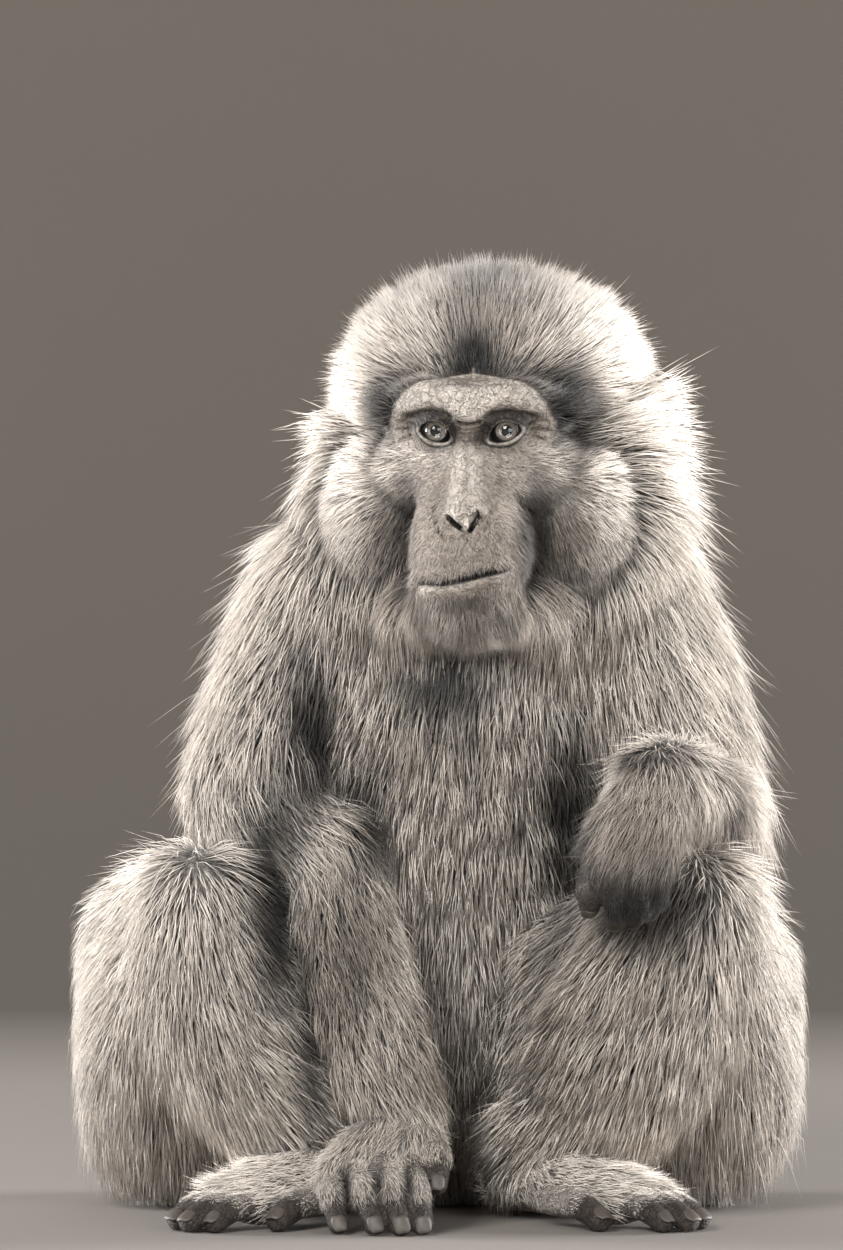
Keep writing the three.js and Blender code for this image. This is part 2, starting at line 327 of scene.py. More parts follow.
@dataclass(frozen=True)
class Head:
    """The head, in a frame of its own: x to the left, -y out of the face, z up."""

    centre: Point = (23.0, 5.0, 402.0)
    yaw: float = math.radians(-8.5)
    eye_place: Point = (18.3, -50.5, 0.0)
    eye_radius: float = 9.6
    lid_thickness: float = 1.9
    opening_half: Point = (8.3, 6.7, 3.6)  # half-width, upwards, downwards
    opening_tilt: float = math.radians(18)  # the inner corner lies lower
    opening_rise: float = -2.1

    def to_head(self, points: Array) -> Array:
        """Points of the animal's frame in the head's frame.

        Args:
            points: Places in the animal's frame.

        Returns:
            The same places in the head's frame.
        """
        away = points - np.array(self.centre)
        c, s = math.cos(self.yaw), math.sin(self.yaw)
        return np.stack([c * away[:, 0] + s * away[:, 1], c * away[:, 1] - s * away[:, 0], away[:, 2]], axis=1)

    def to_body(self, vectors: Array) -> Array:
        """Directions of the head's frame in the animal's frame.

        Args:
            vectors: Directions of the head's frame.

        Returns:
            The same directions in the animal's frame.
        """
        c, s = math.cos(self.yaw), math.sin(self.yaw)
        x, y, z = vectors[..., 0], vectors[..., 1], vectors[..., 2]
        return np.stack([c * x - s * y, s * x + c * y, z], axis=-1)

    def furred(self) -> list[Member]:
        """The skull, neck, cheeks and chin, inside the coat.

        Returns:
            The members.
        """
        crown, nape, mane, cheek, beard = Growth.CROWN, Growth.NAPE, Growth.MANE, Growth.CHEEK, Growth.BEARD
        hood = Tube(
            ((2, 0, -62, 78, 50), (7, 5, -40, 94, 58), (7, 13, -14, 92, 60), (0, 15, 18, 81, 61)),
            depth=mane.value.depth + 3,
            end_depth=mane.value.depth - 3,
        )
        members = [
            Member("head", Blob((0, 14, 29), (80, 70, 58), crown.value.depth), crown, 12),
            Member("head", Blob((0, 24, 18), (79, 62, 62), nape.value.depth), nape, 12),
            Member("head", hood, mane, 12),
            Member("head", Blob((0, -46, -84), (42, 42, 29), beard.value.depth), beard, 10),
        ]
        for side in Side:
            x = side.value
            members.append(Member("head", Blob((x * 50, -24, -42), (30, 27, 36), cheek.value.depth), cheek, 14))
        return members

    def bare(self) -> list[Member]:
        """The shapes of the nearly bare face: its plate, brow, nose, muzzle and jaw.

        Returns:
            The members.
        """
        brow = (
            (-38, -43, 9, 8, 9), (-30, -50, 15, 10, 9.5), (-18, -55, 17, 10.5, 10), (0, -57, 14.5, 10, 11),
            (18, -55, 17, 10.5, 10), (30, -50, 15, 10, 9.5), (38, -43, 9, 8, 9),
        )
        bridge = ((0, -52, 4, 6.5, 9), (0, -59.5, -12, 6.5, 10), (0.4, -72, -28, 7, 11), (1.2, -84, -40.5, 8.6, 9.5))
        muzzle = ((0, -38, -24, 31, 22), (0, -55, -44, 31.5, 26), (0, -67, -60, 31.5, 28), (0, -76, -69, 28.5, 21))
        jaw = ((0, -46, -86, 30, 20), (0, -64, -88, 29, 18), (0, -77, -85, 23, 13))
        shapes = [
            (Blob((0, -30, 2), (44, 28, 31), 0.6), 5),
            (Tube(brow, 0.6, side=(0, 1, 0)), 10),
            (Tube(bridge, 0.6), 7),
            (Blob((0, -50, -24), (23, 19, 26), 0.6), 10),
            (Blob((0, -33, -24), (52, 27, 25), 0.6), 14),
            (Tube(muzzle, 0.8, square=2.3), 8),
            (Tube(jaw, 0.8), 5),
        ]
        return [Member("face", shape, Growth.FACE, join) for shape, join in shapes]

    def ears(self) -> list[Member]:
        """The ears, flat against the sides of the head.

        Returns:
            The members.
        """
        ears = []
        for side in Side:
            x = side.value
            lobe = ((x * 72, 24, -26, 7, 6), (x * 81, 30, -16, 13, 6))
            shell = (*lobe, (x * 85, 33, -2, 13, 4.5), (x * 85, 34, 7, 7, 3.5))
            tube = Tube(shell, 0.6, side=(0, 1, 0))
            ears.append(Member(f"ear_{side.word}", tube, Growth.EAR, 3))
        return ears

    def eye_opening(self, local: Array, side: Side) -> Array:
        """The distance from the outline of an eye's opening, seen from the front.

        Args:
            local: Places in the head's frame.
            side: The eye's side.

        Returns:
            One distance for each, negative inside.
        """
        a = side.value * local[:, 0] - self.eye_place[0]
        b = local[:, 2] - self.eye_place[2] - self.opening_rise
        c, s = math.cos(self.opening_tilt), math.sin(self.opening_tilt)
        along, up = a * c + b * s, b * c - a * s
        wide, above, below = self.opening_half
        share = ((np.abs(along) / wide) ** 1.75 + (np.abs(up) / np.where(up > 0, above, below)) ** 1.85) ** (1 / 1.8)
        return np.hypot(along, up) * (1 - 1 / np.maximum(share, 0.05))

    def eye_pit(self, local: Array, side: Side) -> Array:
        """The distance from the hollow behind an eye's opening, which the eyeball fills."""
        return np.maximum(self.eye_opening(local, side), local[:, 1] - (self.eye_place[1] - 4.5))

    def openings(self, local: Array, face: Array) -> Array:
        """Adds the lids to the face's distance and opens the eyes and nostrils in it.

        Args:
            local: Places in the head's frame.
            face: The face's distance at each place.

        Returns:
            The new distances.
        """
        x, y, z = self.eye_place
        for side in Side:
            middle = np.array((side.value * x, y, z))
            lid = np.linalg.norm(local - middle, axis=1) - self.eye_radius - self.lid_thickness
            face = blend_min(face, lid, 3.5)
            face = -blend_min(-face, self.eye_pit(local, side), 1.0)
            nostril = Tube(NOSTRILS[side], side=(0.7, 0, 0.7)).distance(local)
            face = -blend_min(-face, nostril, 0.9)
        return face

    def relief(self, local: Array) -> Array:
        """How far the skin of the face is pressed in by creases, or raised where it is negative.

        Args:
            local: Places in the head's frame.

        Returns:
            One depth for each.
        """
        x, z = local[:, 0], local[:, 2]
        sunk = np.zeros(len(local))
        for crease in FACE_CREASES:
            near = np.flatnonzero(crease.near(x, z))
            away, share = line_offset(x[near], z[near], crease.line)
            ends = fade(share, 0, 0.2) * fade(share, 1, 0.8) if crease.tapered else 1.0
            sunk[near] += crease.depth * ends * np.exp(-((away / crease.width) ** 2))
        for side in Side:
            rim = self.eye_opening(local, side)
            below = fade(z - 0.32 * side.value * x, -5.5, -9.5)
            sunk += 0.9 * hump(rim, 2.5, 0.55) * (0.45 + 0.55 * below)
            sunk += 0.8 * hump(rim, 1.4, 0.5) * (1 - below)
            sunk += 0.3 * hump(rim, 4.6, 0.6) * below
            sunk += 0.25 * hump(rim, 7.0, 0.7) * below
        return sunk * fade(local[:, 1], -22, -34)

    def outline(self, local: Array) -> Array:
        """1 where the face is bare, 0 where the coat stands, and between them at its edge.

        Args:
            local: Places in the head's frame.

        Returns:
            One value for each.
        """
        x, y, z = np.abs(local[:, 0]), local[:, 1], local[:, 2]
        heights = (-98, -90, -84, -72, -56, -42, -28, -14, -4, 4, 14, 20, 25, 29)
        halves = (0, 12, 22, 28, 29, 26, 25, 34, 42, 42.5, 38, 33.5, 26, 0)
        edge = np.interp(z, heights, halves) - x
        soft = np.interp(z, (-60, -12, 2), (9.0, 9.0, 1.4))
        return fade(edge, -soft, soft) * fade(y, -24, -32)

    def fuzz(self, local: Array) -> Array:
        """How much short hair the bare face has: none on brow, nose, lids and lips.

        Args:
            local: Places in the head's frame.

        Returns:
            A share from 0 to 1 for each.
        """
        x, y, z = local[:, 0], local[:, 1], local[:, 2]
        cover = fade(z, -6, -13) * fade(y, -24, -30)
        cover *= 1 - fade(np.abs(x), 9.5, 6) * fade(z, -53, -50)
        for side in Side:
            cover *= fade(self.eye_opening(local, side), 4, 7)
        mouth, _ = line_offset(x, z, MOUTH_LINE)
        lip = np.interp(x, *zip(*MOUTH_LINE))
        return cover * np.where(z < lip, fade(mouth, 5.5, 8.5), fade(mouth, 1.3, 2.4))

    def fuzz_reach(self, local: Array) -> Array:
        """How many times longer the face's hair grows towards the cheeks and under the chin.

        Args:
            local: Places in the head's frame.

        Returns:
            One factor for each.
        """
        x, z = np.abs(local[:, 0]), local[:, 2]
        chin = 0.9 * fade(z, -77, -87) + 0.7 * fade(z, -87, -100) + 0.8 * fade(x, 17, 27) * fade(z, -78, -88)
        cheek = 1.7 * fade(x, 24, 42) * fade(z, 2, -14) + 1.1 * fade(x, 18, 30) * fade(z, -36, -50)
        return 1 + chin + cheek + 1.5 * fade(z, 0, 6) + 3.0 * fade(x, 37, 45) * fade(z, -4, 8)

    def lie(self, points: Array) -> Array:
        """The way the coat lies on the head: away from the face, and down behind it.

        Args:
            points: Places in the animal's frame.

        Returns:
            One direction for each.
        """
        local = self.to_head(points)
        away = unit(local - np.array((0.0, -70.0, -8.0)))
        x, y, z = local[:, :1], local[:, 1:2], local[:, 2:]
        muzzle = fade(np.abs(x), 36, 26) * fade(z, -24, -40) * fade(y, -50, -60)
        fanned = muzzle * x * (1 + 1.2 * fade(z, -78, -94)) * np.array((1 / 30, 0, 0))
        away = unit(away * (1 - muzzle) + muzzle * DOWN + fanned)
        behind = fade(local[:, 1], -20, 60)
        below = fade(local[:, 2], -10, -80)
        return unit(self.to_body(away) + DOWN * (1.3 * behind + 0.9 * below)[:, None])


@dataclass(frozen=True)
class Crease:
    """A fold of the face: a line in the head's x-z plane, pressed in by `depth`."""

    line: tuple[tuple[float, float], ...]
    depth: float
    width: float
    tapered: bool = True

    def near(self, x: Array, z: Array) -> Array:
        """Which points are close enough to feel the crease.

        Args:
            x: The points' places across the head.
            z: And their heights.

        Returns:
            True at such points.
        """
        (low_x, low_z), (high_x, high_z) = np.min(self.line, axis=0), np.max(self.line, axis=0)
        reach = 3 * self.width
        return (x > low_x - reach) & (x < high_x + reach) & (z > low_z - reach) & (z < high_z + reach)


def both_sides(*creases: Crease) -> tuple[Crease, ...]:
    """The creases and their mirror images."""
    mirrored = [Crease(tuple((-x, z) for x, z in c.line), c.depth, c.width, c.tapered) for c in creases]
    return (*creases, *mirrored)


NOSTRILS = {
    Side.RIGHT: ((0.7, -90, -49.6, 0.8, 3), (-2.9, -90, -47.4, 1.4, 4), (-6.3, -87, -44.2, 1.1, 4)),
    Side.LEFT: ((4.9, -90, -50.4, 0.9, 3), (6.8, -90, -46.4, 1.9, 4), (9.0, -87, -42.4, 1.2, 4)),
}
MOUTH_LINE = ((-30, -76.6), (-22, -77), (-9, -77), (-3, -76), (2, -75), (8, -73.4), (14, -71.8), (20, -70.4), (28, -68))
FACE_CREASES = (
    Crease(MOUTH_LINE, 3.4, 1.5),
    Crease(tuple((x, z + 4.5) for x, z in MOUTH_LINE), -1.0, 2.6),
    Crease(tuple((x * 0.85, z - 5.0) for x, z in MOUTH_LINE), -1.6, 3.4),
    Crease(((-16, -88), (0, -89.5), (16, -87)), 1.2, 3.4),
    Crease(((0.9, -50.0), (2.9, -53.6), (5.0, -57.4)), 0.8, 0.7, False),
    Crease(((-15.5, -36), (-14, -44), (-11.5, -51), (-6, -57)), 1.3, 1.0),
    Crease(((14.5, -38), (13.5, -45), (11, -51)), 0.5, 1.0),
    Crease(((-27, -30), (-29, -44), (-29, -62), (-28, -76)), 4.5, 3.2),
    Crease(((22, -30), (27, -38), (32, -46), (34, -58), (33, -74)), 5.5, 3.2),
    Crease(((34, -46), (44, -47), (52, -44)), 2.6, 2.6),
    Crease(((14, -22), (20, -29), (24, -36)), 0.7, 2.0),
    *both_sides(
        Crease(((10, 4), (7.6, -2), (8.2, -8)), 1.5, 1.9),
        Crease(((6, 5), (12, 8.4), (20, 9.6), (29, 8), (38, 6)), 1.7, 1.7),
        Crease(((27, 2), (33, 4.4), (40, 5)), 0.9, 0.7),
        Crease(((27, 0), (33, 1), (41, 0)), 0.8, 0.7),
        Crease(((26, -2), (32, -3), (40, -6)), 0.6, 0.7),
        Crease(((10, -12.5), (18, -15.5), (27, -13)), 0.5, 0.8),
        Crease(((12, -17), (20, -19.5), (28, -18)), 0.4, 0.8),
        Crease(((6, 12), (10, 17), (20, 20), (32, 18)), 0.2, 0.6),
        Crease(((22, 13), (28, 16), (35, 14)), 0.2, 0.6),
    ),
    Crease(((-8, 5.4), (-4, 3.6), (0, 3.0), (4, 3.6), (8, 5.4)), 1.5, 0.8),
    Crease(((-8, 2.4), (-4, 0.8), (0, 0.4), (4, 0.8), (8, 2.4)), 0.8, 0.55),
    Crease(((-8, 0.2), (-3, -1.4), (0, -1.7), (3, -1.4), (8, 0.2)), 0.8, 0.55),
    Crease(((-7, -2.2), (-3, -3.4), (3, -3.4), (7, -2.2)), 0.6, 0.5),
    Crease(((-6, -4.4), (0, -5.6), (6, -4.4)), 0.5, 0.5),
    Crease(((-22, 22), (-8, 24), (6, 23), (24, 24)), 0.5, 0.8),
    Crease(((-12, 9), (-14, 14), (-12, 19)), 0.2, 0.6),
    Crease(((-17, 10), (-20, 15)), 0.2, 0.6),
    Crease(((3, 11), (7, 15), (9, 20)), 0.2, 0.6),
    Crease(((-4, 10), (-6, 15), (-4, 20)), 0.2, 0.6),
    Crease(((13, 10), (17, 15), (15, 19)), 0.2, 0.6),
)


@dataclass(frozen=True)
class Digit:
    """A finger or toe: knuckle, bend and tip, and its half-thickness."""

    knuckle: Point
    bend: Point
    tip: Point
    radius: float
    tip_share: float = 0.84

    def tube(self, depth: float) -> Tube:
        """The digit's shape inside a coat of that depth.

        Args:
            depth: The coat's depth.

        Returns:
            The shape.
        """
        between = tuple((a + b) / 2 for a, b in zip(self.knuckle, self.bend))
        r = self.radius
        rows = ((*self.knuckle, r * 1.15), (*between, r * 1.05), (*self.bend, r), (*self.tip, r * self.tip_share))
        return Tube(rows, depth, 0.3)


@dataclass(frozen=True)
class Hand:
    """A hand: its palm's stations and its five fingers."""

    side: Side
    palm: tuple[Station, ...]
    digits: dict[str, Digit]

    def members(self) -> list[Member]:
        """The palm and fingers.

        Returns:
            The members.
        """
        name = f"hand_{self.side.word}"
        palm = Tube(self.palm, Growth.HAND.value.depth, 2.5)
        fingers = [Member(name, d.tube(Growth.FINGER.value.depth), Growth.FINGER, 3) for d in self.digits.values()]
        return [Member(name, palm, Growth.HAND, 3), *fingers]


@dataclass(frozen=True)
class Foot:
    """A foot flat on the floor: the heel's place and how far the toes turn out."""

    side: Side
    heel: tuple[float, float]
    splay: float
    sole: tuple[Station, ...] = ((0, 0, 15, 16, 16), (30, 1, 24, 21, 24), (62, 2, 19, 25, 19), (92, 0, 13, 26, 13))
    # across the foot towards the big toe, start, length, half-thickness
    toes: tuple[tuple[str, float, float, float, float], ...] = (
        ("little", -19, 88, 34, 6.6),
        ("fourth", -9, 96, 38, 7.2),
        ("third", 1, 99, 40, 7.4),
        ("second", 11, 97, 36, 7.2),
        ("big", 24, 62, 46, 8.0),
    )

    def place(self, along: float, across: float, height: float) -> Point:
        """A point from its place along the foot, across it and above the floor.

        Args:
            along: From the heel.
            across: Towards the big toe.
            height: Above the floor.

        Returns:
            The point.
        """
        s, sin, cos = self.side.value, math.sin(self.splay), math.cos(self.splay)
        x = self.heel[0] + s * sin * along - s * cos * across
        return (x, self.heel[1] - cos * along - sin * across, height)

    def digit(self, name: str) -> Digit:
        """One toe.

        Args:
            name: Its name.

        Returns:
            The toe.
        """
        across, start, length, r = next(t[1:] for t in self.toes if t[0] == name)
        lean = 9 if name == "big" else across * 0.14
        return Digit(
            self.place(start, across, r + 5),
            self.place(start + length * 0.6, across + lean * 0.6, r + 4),
            self.place(start + length, across + lean, r * 0.84 - 0.6),
            r,
        )

    @property
    def digits(self) -> dict[str, Digit]:
        """All five toes."""
        return {toe[0]: self.digit(toe[0]) for toe in self.toes}

    def members(self) -> list[Member]:
        """The sole, instep and toes.

        Returns:
            The members.
        """
        name = f"foot_{self.side.word}"
        rows = tuple((*self.place(a, b, c), wide, deep) for a, b, c, wide, deep in self.sole)
        sole = Tube(rows, Growth.FOOT.value.depth, 2.0)
        toes = [Member(name, d.tube(Growth.TOE.value.depth), Growth.TOE, 3) for d in self.digits.values()]
        return [Member(name, sole, Growth.FOOT, 4), *toes]


RIGHT_HAND = Hand(
    Side.RIGHT,
    ((-21, -104, 52, 20, 17), (-27, -120, 41, 26, 15), (-33, -137, 29, 30, 12)),
    {
        "little": Digit((-56, -138, 25), (-56, -158, 19), (-52, -168, 5.2), 6.8),
        "ring": Digit((-43, -142, 30), (-40, -163, 23), (-34, -174, 5.5), 7.2),
        "middle": Digit((-30, -144, 32), (-26, -166, 25), (-21, -177, 5.6), 7.4),
        "index": Digit((-16, -142, 32), (-13, -163, 24), (-10, -173, 5.5), 7.2),
        "thumb": Digit((-6, -118, 44), (-2, -138, 37), (-3, -150, 24), 7.2),
    },
)
LEFT_HAND = Hand(
    Side.LEFT,
    ((107, -126, 226, 21, 17), (101, -142, 208, 26, 15), (93, -149, 190, 26, 13)),
    {
        "little": Digit((110, -146, 187), (107, -146, 168), (104, -133, 160), 6.6),
        "ring": Digit((101, -151, 184), (98, -150, 163), (96, -134, 157), 7.2),
        "middle": Digit((90, -153, 184), (88, -152, 162), (87, -136, 156), 7.4),
        "index": Digit((80, -151, 187), (76, -152, 172), (74, -143, 164), 7.0),
        "thumb": Digit((84, -134, 190), (76, -140, 180), (72, -147, 171), 7.0),
    },
)
FEET = (Foot(Side.RIGHT, (-42, -46), math.radians(38)), Foot(Side.LEFT, (35, -46), math.radians(40)))

TORSO = (
    (0, 74, 52, 100, 80), (0, 72, 88, 104, 90), (2, 67, 128, 102, 94), (5, 60, 170, 99, 93),
    (8, 52, 212, 98, 90), (12, 43, 250, 97, 84), (16, 35, 286, 97, 77), (20, 28, 318, 102, 76),
    (23, 28, 348, 102, 76), (25, 30, 376, 86, 68),
)
LIMBS = {
    "upper_arm_right": (
        (-56, 30, 322, 46), (-71, 24, 286, 46, 48), (-88, 6, 248, 41, 44), (-92, -14, 214, 41, 38),
        (-68, -34, 188, 30, 30),
    ),
    "upper_arm_left": (
        (90, 32, 322, 47), (105, 28, 286, 47, 48), (117, 24, 248, 46, 46), (127, 22, 216, 43, 42),
        (136, 20, 192, 35, 35),
    ),
    "forearm_right": (
        (-58, -38, 188, 28), (-52, -56, 152, 31), (-43, -73, 116, 31), (-32, -90, 82, 28),
        (-22, -100, 60, 23, 19),
    ),
    "forearm_left": (
        (137, 18, 190, 30), (133, -26, 203, 31), (125, -70, 216, 28), (115, -106, 225, 24),
        (109, -122, 226, 21),
    ),
    "thigh_right": (
        (-88, 66, 68, 90, 72), (-104, 28, 78, 82, 80), (-116, -18, 106, 68, 72), (-121, -56, 142, 43, 48),
        (-125, -80, 168, 27, 30),
    ),
    "thigh_left": (
        (88, 66, 68, 90, 72), (100, 28, 78, 84, 80), (112, -18, 100, 66, 70), (119, -58, 136, 49, 50),
        (124, -80, 158, 36, 36),
    ),
    "shank_right": (
        (-125, -92, 172, 25, 26), (-122, -92, 140, 36, 37), (-113, -86, 100, 42, 39), (-84, -76, 64, 38, 32),
        (-56, -66, 44, 28, 26),
    ),
    "shank_left": (
        (124, -90, 164, 36, 33), (113, -92, 132, 46, 41), (98, -88, 96, 51, 41), (76, -78, 62, 42, 34),
        (50, -68, 42, 29, 27),
    ),
    "tail": ((0, 130, 62, 24), (-3, 146, 44, 20), (-7, 158, 26, 16), (-10, 166, 11, 12)),
}
LIMB_COAT = {
    "upper_arm": (Growth.SHOULDER, 12.5, 10.0),
    "forearm": (Growth.FOREARM, 9.0, 5.0),
    "thigh": (Growth.THIGH, 13.0, 11.0),
    "shank": (Growth.SHANK, 11.0, 7.0),
    "tail": (Growth.TAIL, 9.0, 5.0),
}
LIMB_LIE = {  # how far the coat lies along the limb, and how far it hangs another way
    "thigh_right": (-0.25, (-0.15, 0.3, -1.0)),
    "thigh_left": (-0.25, (0.15, 0.3, -1.0)),
    "forearm_left": (0.35, (0.1, 0.0, -0.9)),
}
LIMB_ENDS = (RIGHT_HAND, LEFT_HAND, *FEET)
DIGITS = tuple(digit for limb_end in LIMB_ENDS for digit in limb_end.digits.values())
HEAD_PARTS = ("head", "face", "ear_right", "ear_left")  # their shapes are in the head's frame
FACE_JOIN = 5.0
FACE_REACH = 14.0  # how far from the face's shapes its creases and openings are worked out
FLOOR_CLEARANCE = 0.4
# Parts that run into each other, and how widely the skin melts across from one to the next.
SIDE_LINKS = (
    ("ear", "head", 3), ("upper_arm", "trunk", 14), ("thigh", "trunk", 14), ("forearm", "upper_arm", 10),
    ("hand", "forearm", 5), ("shank", "thigh", 12), ("foot", "shank", 6),
)
MIDDLE_PARTS = ("head", "trunk")  # have no word for a side in their names
LINKS = (("head", "trunk", 24), ("tail", "trunk", 8)) + tuple(
    (f"{part}_{side.word}", to if to in MIDDLE_PARTS else f"{to}_{side.word}", width)
    for part, to, width in SIDE_LINKS
    for side in Side
)


@dataclass
class Body:
    """The whole animal as shapes that melt into each other."""

    head: Head = field(default_factory=Head)
    members: list[Member] = field(default_factory=list)

    def __post_init__(self) -> None:
        """Gathers the shapes of every part."""
        trunk_coat = Growth.TRUNK.value.depth
        self.members += self.head.furred() + self.head.bare() + self.head.ears()
        self.members.append(Member("trunk", Tube(TORSO, trunk_coat, trunk_coat + 4), Growth.TRUNK, toward=-1.0))
        for name, stations in LIMBS.items():
            growth, start, end = LIMB_COAT[name.rsplit("_", 1)[0]]
            square = 4.0 if name.startswith("thigh") else 2.0
            toward, hang = LIMB_LIE.get(name, (1.0, (0.0, 0.0, 0.0)))
            tube = Tube(stations, start, end, square=square)
            self.members.append(Member(name, tube, growth, toward=toward, hang=hang))
        for limb_end in LIMB_ENDS:
            self.members += limb_end.members()

    def distance(self, points: Array) -> Array:
        """The distance of each point from the skin, negative inside.

        Args:
            points: Rows of x, y, z in the animal's frame.

        Returns:
            One distance for each row.
        """
        parts: dict[str, Array] = {}
        local = self.head.to_head(points)
        for member in self.members:
            d = member.shape.distance(local if member.part in HEAD_PARTS else points)
            known = parts.get(member.part)
            parts[member.part] = d if known is None else blend_min(known, d, member.join)
        whole = np.full(len(points), FAR)
        for a, b, width in LINKS:
            whole = np.minimum(whole, blend_min(parts[a], parts[b], width))
        face = np.flatnonzero((parts["face"] < FACE_REACH) & (local[:, 1] < 0))
        front = local[face]
        d = blend_min(parts["face"][face], parts["head"][face], FACE_JOIN) + self.head.relief(front)
        d = self.head.openings(front, d)
        whole[face] = np.minimum(whole[face], d)
        return np.maximum(whole, FLOOR_CLEARANCE - points[:, 2])

    def grows(self, member: Array, *kinds: Growth) -> Array:
        """Whether the coat of each numbered member is of one of some kinds."""
        return np.array([m.growth in kinds for m in self.members])[member]

    def owners(self, points: Array) -> Array:
        """The number of the member whose surface is nearest to each point.

        Args:
            points: Places in the animal's frame.

        Returns:
            One number for each.
        """
        nearest = np.full(len(points), FAR)
        owner = np.zeros(len(points), dtype=int)
        local = self.head.to_head(points)
        for k, member in enumerate(self.members):
            d = member.shape.distance(local if member.part in HEAD_PARTS else points)
            owner = np.where(d < nearest, k, owner)
            nearest = np.minimum(nearest, d)
        return owner


# ---- the skin's mesh


@dataclass
class Shell:
    """A bare mesh: corner points, and faces of three or four corners."""

    points: Array
    quads: Array


def surface_net(values: Array, low: Array, pitch: float) -> Shell:
    """The surface where a grid of distances passes zero, as quads round the grid's crossings.

    Args:
        values: Distances at the grid's nodes, negative inside.
        low: The place of the grid's first node.
        pitch: The grid's step.

    Returns:
        The surface, with its faces pointing out.
    """
    inside = values < 0
    shape = tuple(n - 1 for n in values.shape)
    corners = [(i, j, k) for i in (0, 1) for j in (0, 1) for k in (0, 1)]
    count = np.zeros(shape, dtype=np.int8)
    for i, j, k in corners:
        count += inside[i : i + shape[0], j : j + shape[1], k : k + shape[2]]
    cells = np.argwhere((count > 0) & (count < 8))
    numbers = np.full(shape, -1, dtype=np.int64)
    numbers[tuple(cells.T)] = np.arange(len(cells))
    at_corner = {c: values[tuple((cells + np.array(c)).T)] for c in corners}
    total = np.zeros((len(cells), 3))
    crossings = np.zeros(len(cells))
    for axis in range(3):
        for c in (c for c in corners if c[axis] == 0):
            other = tuple(1 if a == axis else c[a] for a in range(3))
            a, b = at_corner[c], at_corner[other]
            crossed = (a < 0) != (b < 0)
            share = np.where(crossed, a / np.where(crossed, a - b, 1.0), 0.0)
            total += crossed[:, None] * np.array(c)
            total[:, axis] += share
            crossings += crossed
    points = low + pitch * (cells + total / crossings[:, None])

    quads = []
    for axis in range(3):
        u, v = ((axis + 1) % 3, (axis + 2) % 3)
        ahead = np.roll(inside, -1, axis=axis)
        changes = inside != ahead
        inner = [slice(1, -1)] * 3
        nodes = np.argwhere(changes[tuple(inner)]) + 1
        step_u, step_v = np.eye(3, dtype=int)[u], np.eye(3, dtype=int)[v]
        ring = [nodes - step_u - step_v, nodes - step_v, nodes, nodes - step_u]
        faces = np.stack([numbers[tuple(cell.T)] for cell in ring], axis=1)
        leaving = inside[tuple(nodes.T)]
        quads.append(np.where(leaving[:, None], faces, faces[:, ::-1]))
    faces = np.concatenate(quads)
    return Shell(points, faces[(faces >= 0).all(axis=1)])


def mesh_from(name: str, shell: Shell) -> Mesh:
    """A Blender mesh in metres, with smooth faces, from points in millimetres.

    Args:
        name: The mesh's name.
        shell: The points in row coordinates, and the faces.

    Returns:
        The new mesh.
    """
    mesh = bpy.data.meshes.new(name)
    size = shell.quads.shape[1]
    mesh.vertices.add(len(shell.points))
    mesh.vertices.foreach_set("co", (shell.points * MM).astype(np.float32).ravel())
    mesh.loops.add(shell.quads.size)
    mesh.loops.foreach_set("vertex_index", shell.quads.astype(np.int32).ravel())
    mesh.polygons.add(len(shell.quads))
    mesh.polygons.foreach_set("loop_start", np.arange(0, shell.quads.size, size, dtype=np.int32))
    mesh.polygons.foreach_set("use_smooth", np.ones(len(shell.quads), dtype=bool))
    mesh.update(calc_edges=True)
    return mesh


def read(items: Sequence, name: str, width: int, kind: type = np.float32) -> Array:
    """Rows of a mesh's own values.

    Args:
        items: The mesh's points, edges or triangles.
        name: The value that is read.
        width: How many numbers it has.
        kind: Their type.

    Returns:
        One row for each item.
    """
    flat = np.empty(len(items) * width, dtype=kind)
    items.foreach_get(name, flat)
    return flat.reshape(-1, width)


def mesh_points(mesh: Mesh) -> Array:
    """A mesh's corner points in millimetres of the row frame."""
    return read(mesh.vertices, "co", 3).astype(float) / MM


def mesh_edges(mesh: Mesh) -> Array:
    """The two ends of each edge."""
    return read(mesh.edges, "vertices", 2, np.int32)


def new_object(name: str, data: bpy.types.ID) -> Object:
    """Puts a mesh, a light or a camera into the scene.

    Args:
        name: The object's name.
        data: What it shows.

    Returns:
        The new object.
    """
    made = bpy.data.objects.new(name, data)
    bpy.context.scene.collection.objects.link(made)
    return made


def evened(values: Array, edges: Array, rounds: int) -> Array:
    """Values at a mesh's points, averaged with their neighbours' a number of times.

    Args:
        values: A value or a row of values at each point.
        edges: The points at each edge's ends.
        rounds: The number of times.

    Returns:
        The values, in the same shape.
    """
    smooth = values.reshape(len(values), -1).astype(float)
    degree = np.bincount(edges.ravel(), minlength=len(values)).astype(float)[:, None]
    for _ in range(rounds):
        total = np.zeros_like(smooth)
        for column in range(smooth.shape[1]):
            total[:, column] = np.bincount(edges[:, 0], smooth[edges[:, 1], column], len(values))
            total[:, column] += np.bincount(edges[:, 1], smooth[edges[:, 0], column], len(values))
        smooth = (smooth + total) / (1 + degree)
    return smooth.reshape(values.shape)


